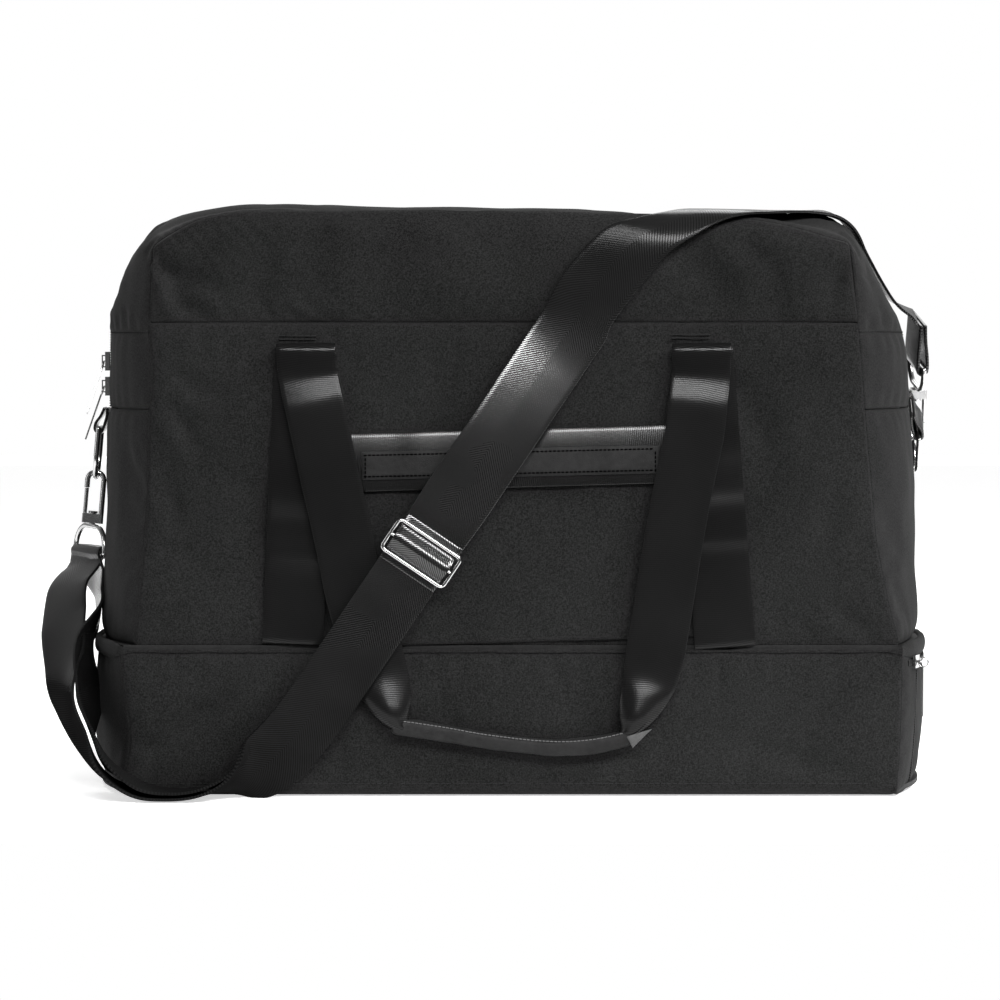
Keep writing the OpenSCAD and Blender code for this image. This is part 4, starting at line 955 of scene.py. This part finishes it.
webbing("strapLoop", loopRows, webbingBlack, ["strap_loop"], "bag", wide=strap["wide"],
        blendTo=("left_d_ring", ((-0.28, 0, 0.065), (-0.3028, 0, 0.1219))), cup=0.0004, seed=16,
        step=0.0022)

barLine = [(16, 15.6), (10.7, 16.6), (7, 17.6), (3, 20.2), (1.2, 21.1), (-1.2, 21.1), (-3, 20.2), (-7, 17.6),
           (-10.7, 16.6), (-16, 15.8)]
webbing("strapBarFold", [onFront(*spot) for spot in barLine], webbingBlack, ["strap_bar_fold"],
        "strap_slider", wide=strap["wide"], seed=17, step=0.0015, smooth=8)


def endTabRows():
    # from the stitched end down round the eye's bar and up again, in the chain's own lean
    lean = math.radians(15)
    up = (0, -math.sin(lean), math.cos(lean))
    turn = math.radians(-8)
    w = (math.sin(turn), math.cos(lean) * math.cos(turn), math.sin(lean) * math.cos(turn))
    out = (math.cos(turn), 0, 0)
    bar = (strap["ringX"], 19.98, 268.36)

    def place(x, height):
        return tuple(bar[k] + out[k] * x + up[k] * height for k in range(3)) + w
    return [place(1.1, 29), place(1.6, 18), place(2.7, 8), place(2.9, 0), place(2.0, -2.2), place(0, -3.1),
            place(-2.0, -2.2), place(-2.9, 0), place(-2.8, 8), place(-2.2, 18), place(-1.6, 29)]


# a short loop of webbing holds each ring's bar; out is away from the bag and up is towards its sewn end
tabLine = [(-3.6, 1.0), (-1.1, 0.6), (2.0, 0.28), (2.7, 0), (1.9, -0.13), (0, -0.19), (-1.9, -0.13),
           (-2.7, 0), (-3.9, 0.28), (-5.0, 0.6), (-5.3, 1.0)]
for side, word, tall, lean, bar in ((-1, "left", 13.4, 0, (262.6, 0, 226)),
                                    (1, "right", 15.4, 35, (strap["ringX"], 14.18, 226.89))):
    sine, cosine = math.sin(math.radians(lean)), math.cos(math.radians(lean))
    rows = [(side * (bar[0] + out), bar[1] - up * tall * sine, bar[2] + up * tall * cosine, 0, cosine, sine)
            for out, up in tabLine]
    webbing(word + "RingTab", rows, webbingBlack, [word + "_ring_tab"], "bag", wide=0.0225, seed=19,
            step=0.0012, smooth=8)
webbing("strapEndTab", endTabRows(), webbingBlack, ["strap_end_tab"], "bag", seed=18, step=0.0015, smooth=8)
print("strap ready")


def loopAround(finder, y, z, count):
    # a closed outline round the bag at one height
    rows = []
    turn = np.linspace(-1, 1, count)
    for t in turn:
        rows.append((finder(1, t * y, z), t * y))
    for t in turn:
        rows.append((finder(-1, -t * y, z), -t * y))
    return np.array(rows + rows[:1])


bandLook = {"y": 0.1172, "z": 0.0905, "endsAt": 0.236}


def bandShape(u, v):
    # u goes round the bag, v over the band's rounded section
    outline = loopAround(baseEnd, bandLook["y"], bandLook["z"], 24)
    smooth = evenly(np.column_stack([outline, np.zeros(len(outline))]), 0.004)[0]
    share = np.linspace(0, 1, len(smooth))
    x, y = np.interp(u, share, smooth[:, 0]), np.interp(u, share, smooth[:, 1])
    atEnd = np.clip((np.abs(x) - bandLook["endsAt"]) / 0.012, 0, 1)
    tall, thick = 0.0011 + 0.0044 * atEnd, 0.0005 + 0.0023 * atEnd
    angle = (v - 0.5) * 2 * math.pi
    outX, outY = np.sign(x) * atEnd, np.sign(y) * (1 - atEnd)
    puffed = thick * np.cos(angle)
    return np.stack([x + outX * puffed, y + outY * puffed, bandLook["z"] + tall * np.sin(angle)], axis=1)


band, u, v = gridSheet("seamBand", bandShape, 360, 14, (1.46, 0.02), fromCentre)
points = readPoints(band)
writePoints(band, points + readPoints(band, "normal") * (slowNoise(points, 0.012, 3) * 0.0005)[:, None])
editMesh(lambda: bpy.ops.mesh.remove_doubles(threshold=0.0001), faceOut)
band.data.materials.append(canvasBlack)
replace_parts(band, "base_seam_band")
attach(band, "bag")


def strip(name, rows, wide, thick, material, body, cadNodes=(), blendTo=None):
    # a thin flat strip along rows of x, y, z and the direction across
    data = np.array(rows, float)
    curve, length = evenly(data, 0.004)
    steps = np.linspace(0, 1, len(curve))

    def shape(u, v):
        at = np.stack([np.interp(v, steps, curve[:, k]) for k in range(6)], axis=1)
        return at[:, :3] + at[:, 3:] * ((u - 0.5) * wide)[:, None]
    piece, u, v = gridSheet(name, shape, 4, len(curve) - 1, (wide, length), fromCentre)
    addModifier(piece, "SOLIDIFY", thickness=thick, offset=-1)
    piece.data.materials.append(material)
    if cadNodes:
        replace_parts(piece, *cadNodes)
    hold(piece, body, blendTo)


def teeth(name, rows, size, gap, material, body, blendTo=None):
    # small rounded links along a path: one is modelled, the rest are copies in the same mesh
    bpy.ops.object.select_all(action="DESELECT")
    bpy.ops.mesh.primitive_cube_add(size=1)
    one = bpy.context.object
    addModifier(one, "BEVEL", width=0.18, segments=1)
    base = readPoints(one) * np.array(size)
    faces = [tuple(p.vertices) for p in one.data.polygons]
    bpy.data.objects.remove(one)
    curve = evenly(np.array(rows, float), gap)[0]
    run = np.gradient(curve[:, :3], axis=0)
    run /= np.linalg.norm(run, axis=1, keepdims=True)
    allPoints, allFaces = [], []
    for index, (row, ahead) in enumerate(zip(curve, run)):
        across = row[3:6] / np.linalg.norm(row[3:6])
        up = np.cross(ahead, across)
        turn = np.stack([across, ahead, up])
        allFaces += [tuple(i + index * len(base) for i in f) for f in faces]
        allPoints.append(row[:3] + base @ turn)
    piece = fromPoints(name, allPoints, allFaces, material)
    pick(piece)
    editMesh(faceOut)
    hold(piece, body, blendTo)


def zipPath(side, offset, low, high):
    # rows along the closed stretch at one end, at a distance from the middle
    return [(bodyEnd(side, 0, z) - side * 0.0002, offset, z, 0, 1, 0) for z in np.linspace(low, high, 12)]


zipLook = {"tape": 0.0154, "endTape": 0.0316, "thick": 0.0009, "coilOut": 0.0006, "gap": 0.0016,
           "link": (0.0026, 0.0011, 0.0016), "baseLink": (0.0036, 0.0011, 0.0014), "baseThick": 0.001,
           "topTape": 0.0085, "sideTape": 0.0062}
for side, word in ((-1, "front"), (1, "rear")):
    top = [(x, side * 0.0082, z - 0.0004, 0, 1, 0) for x, z in midCurve]
    toMouth = ("mouth_" + word, mouthField[side])
    strip(word + "ZipTape", top, zipLook["tape"], zipLook["thick"], tapeBlack, "bag", [word + "_zip_half"],
          toMouth)
    coil = [(x, side * 0.0013, z + zipLook["coilOut"], 0, 1, 0) for x, z in midCurve]
    teeth(word + "ZipCoil", coil, zipLook["link"], zipLook["gap"], coilBlack, "bag", toMouth)
for side, word in ((-1, "left"), (1, "right")):
    strip(word + "ZipEndTape", zipPath(side, 0, *boxingSpan), zipLook["endTape"], zipLook["thick"], tapeBlack,
          "bag", [word + "_zip_end"])
    for offset, half in ((-0.0013, "Front"), (0.0013, "Rear")):
        shift = [(row[0] + side * 0.0008,) + row[1:] for row in zipPath(side, offset, 0.2405, 0.2875)]
        teeth(word + "ZipEndCoil" + half, shift, zipLook["link"], zipLook["gap"], coilBlack, "bag")

# zip round the shoe compartment's flap: up one side, along the top and down the other
runY, sideY, runZ = 0.105, 0.0783, 0.0822
topRun = [(baseEnd(1, y, runZ) + 0.0006, y, runZ, 0, 0, 1) for y in np.linspace(-runY, runY, 40)]
baseRuns = [("Top", topRun, zipLook["topTape"], ["base_zip"])]
for side, word in ((-1, "Front"), (1, "Rear")):
    rise = [(baseEnd(1, side * sideY, z) + 0.0006, side * sideY, z, 0, 1, 0)
            for z in np.linspace(0.004, runZ, 16)]
    baseRuns.append((word, rise, zipLook["sideTape"], []))
for word, run, wide, cadNodes in baseRuns:
    strip("baseZip" + word + "Tape", run, wide, zipLook["baseThick"], tapeBlack, "bag", cadNodes)
    teeth("baseZip" + word + "Coil", [(row[0] + 0.0008,) + row[1:] for row in run], zipLook["baseLink"],
          zipLook["gap"], coilBlack, "bag")
print("zips ready")

liningLook = {"foot": 0.0955, "tall": 0.191, "y": 0.1092, "faceIn": 0.004, "endIn": 0.0045, "thick": 0.0008,
              "floorLong": 0.252, "floorDeep": 0.109, "floorZ": 0.0958}


def finishLining(piece):
    addModifier(piece, "SOLIDIFY", thickness=liningLook["thick"], offset=-1)
    piece.data.materials.append(liningGrey)
    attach(piece, "bag")


def liningWall(name, side, axis):
    def shape(u, v):
        z = liningLook["foot"] + liningLook["tall"] * v
        if axis == "face":
            left = -tableX("leftFace", z) + liningLook["faceIn"]
            right = tableX("rightFace", z) - liningLook["faceIn"]
            return np.stack([left + (right - left) * u, np.full(len(u), side * liningLook["y"]), z], axis=1)
        y = (u - 0.5) * 2 * liningLook["y"]
        return np.stack([bodyEnd(side, y, z) - side * liningLook["endIn"], y, z], axis=1)
    piece, u, v = gridSheet(name, shape, 70 if axis == "face" else 40, 30, (0.45, 0.19), fromCentre)
    points, normals = readPoints(piece), readPoints(piece, "normal")
    inward = 0.0012 * np.clip(slowNoise(points, 0.05, 6) + 0.2, 0, 1)
    inward += 0.0006 * np.clip(slowNoise(points, 0.015, 7), 0, 1)
    writePoints(piece, points - normals * inward[:, None])
    finishLining(piece)
    return piece


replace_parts(liningWall("liningFront", -1, "face"), "lining")
liningWall("liningBack", 1, "face")
liningWall("liningLeft", -1, "end")
liningWall("liningRight", 1, "end")


def liningFloor(u, v):
    y = (v - 0.5) * 2 * liningLook["floorDeep"]
    x = (u - 0.5) * 2 * (liningLook["floorLong"] - 0.026 * (y / liningLook["floorDeep"]) ** 2)
    rise = 0.0012 * slowNoise(np.stack([x, y, y * 0], axis=1), 0.06, 8)
    return np.stack([x, y, liningLook["floorZ"] + rise], axis=1)


finishLining(gridSheet("liningFloor", liningFloor, 70, 36, (0.5, 0.22), lambda p: Vector((0, 0, 1)))[0])

finishes = {"base_board": boardBlack, "divider_board": boardBlack}
for name, node in nodes.items():
    if node.hide_render:
        continue
    material = finishes.get(name, nickel)
    node.data.materials.clear()
    node.data.materials.append(material)
print("hardware finished")


def stitches(name, paths, body, material, long=0.0026, gap=0.0036, thick=0.00042):
    # dashes of thread along each path of x, y, z rows in metres
    bpy.ops.object.select_all(action="DESELECT")
    bpy.ops.mesh.primitive_cylinder_add(vertices=6, radius=0.5, depth=1, end_fill_type="TRIFAN")
    one = bpy.context.object
    base = readPoints(one)
    base[:, 2] *= np.where(np.hypot(base[:, 0], base[:, 1]) < 0.01, 1.25, 0.8)
    faces = [tuple(p.vertices) for p in one.data.polygons]
    bpy.data.objects.remove(one)
    allPoints, allFaces = [], []
    for path in paths:
        curve = evenly(spline(path, 6), gap)[0]
        run = np.gradient(curve, axis=0)
        for place, ahead in zip(curve[:-1], run[:-1]):
            ahead = Vector(ahead).normalized()
            turn = np.array(ahead.to_track_quat("Z", "Y").to_matrix())
            allFaces += [tuple(i + len(allPoints) * len(base) for i in f) for f in faces]
            allPoints.append(place + (base * np.array([thick, thick, long])) @ turn.T)
    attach(fromPoints(name, allPoints, allFaces, material), body)


def onPatch(x, z):
    return (x * mm, -(hemOut(x) + 3.3 - 0.06 * (z - 207)) * mm,
            (z - pocket["patchTilt"] * x) * mm)


halfLong, halfTall = pocket["patchLong"] / 2 - 2.4, pocket["patchTall"] / 2 - 2.2
patchPaths = [[onPatch(x, pocket["patchZ"] + s * halfTall) for x in np.linspace(-halfLong, halfLong, 24)]
              for s in (-1, 1)]
patchPaths += [[onPatch(s * halfLong, pocket["patchZ"] + z) for z in np.linspace(-halfTall, halfTall, 4)]
               for s in (-1, 1)]
stitches("patchStitches", patchPaths, "bag", threadBlack, long=0.0017, gap=0.0026, thick=0.0009)

for side, word in ((1, "Front"), (-1, "Rear")):
    marks = [[(side * x * mm, -side * 0.1165, z * mm) for x in np.linspace(first, last, 6)]
             for first, last, level in ((-141, -118, 284.6), (101.5, 125, 285.4))
             for z in (level - 1.1, level + 1.1)]
    stitches("handleBartacks" + word, marks, "bag", seamBlack, long=0.0034, gap=0.0036, thick=0.0008)
    line = [(side * x * mm, side * -0.1305, (level + 4.0) * mm) for x, level in gripCurve[4:-4:4]]
    stitches("gripStitches" + word, [line], "handle_" + word.lower(), threadPale, long=0.0018, gap=0.0024,
             thick=0.0007)


def snapTo(piece, paths, lift, axis):
    # lays each point of the paths on a piece's outside, by a ray along the axis
    laid = []
    for path in paths:
        row = []
        for point in path:
            start = Vector(point) - Vector(axis) * 0.05
            hit, place = piece.ray_cast(start, Vector(axis))[:2]
            row.append(tuple(place - Vector(axis) * lift) if hit else tuple(point))
        laid.append(row)
    return laid


for side, word in ((-1, "Front"), (1, "Back")):
    base = bpy.data.objects["base" + word + "Canvas"]
    row = [(x * mm, side * 0.118, 8.5 * mm) for x in range(-232, 236, 12)]
    stitches("base" + word + "Stitches", snapTo(base, [row], 0.0001, (0, -side, 0)), "bag", seamBlack)
print("stitching ready")
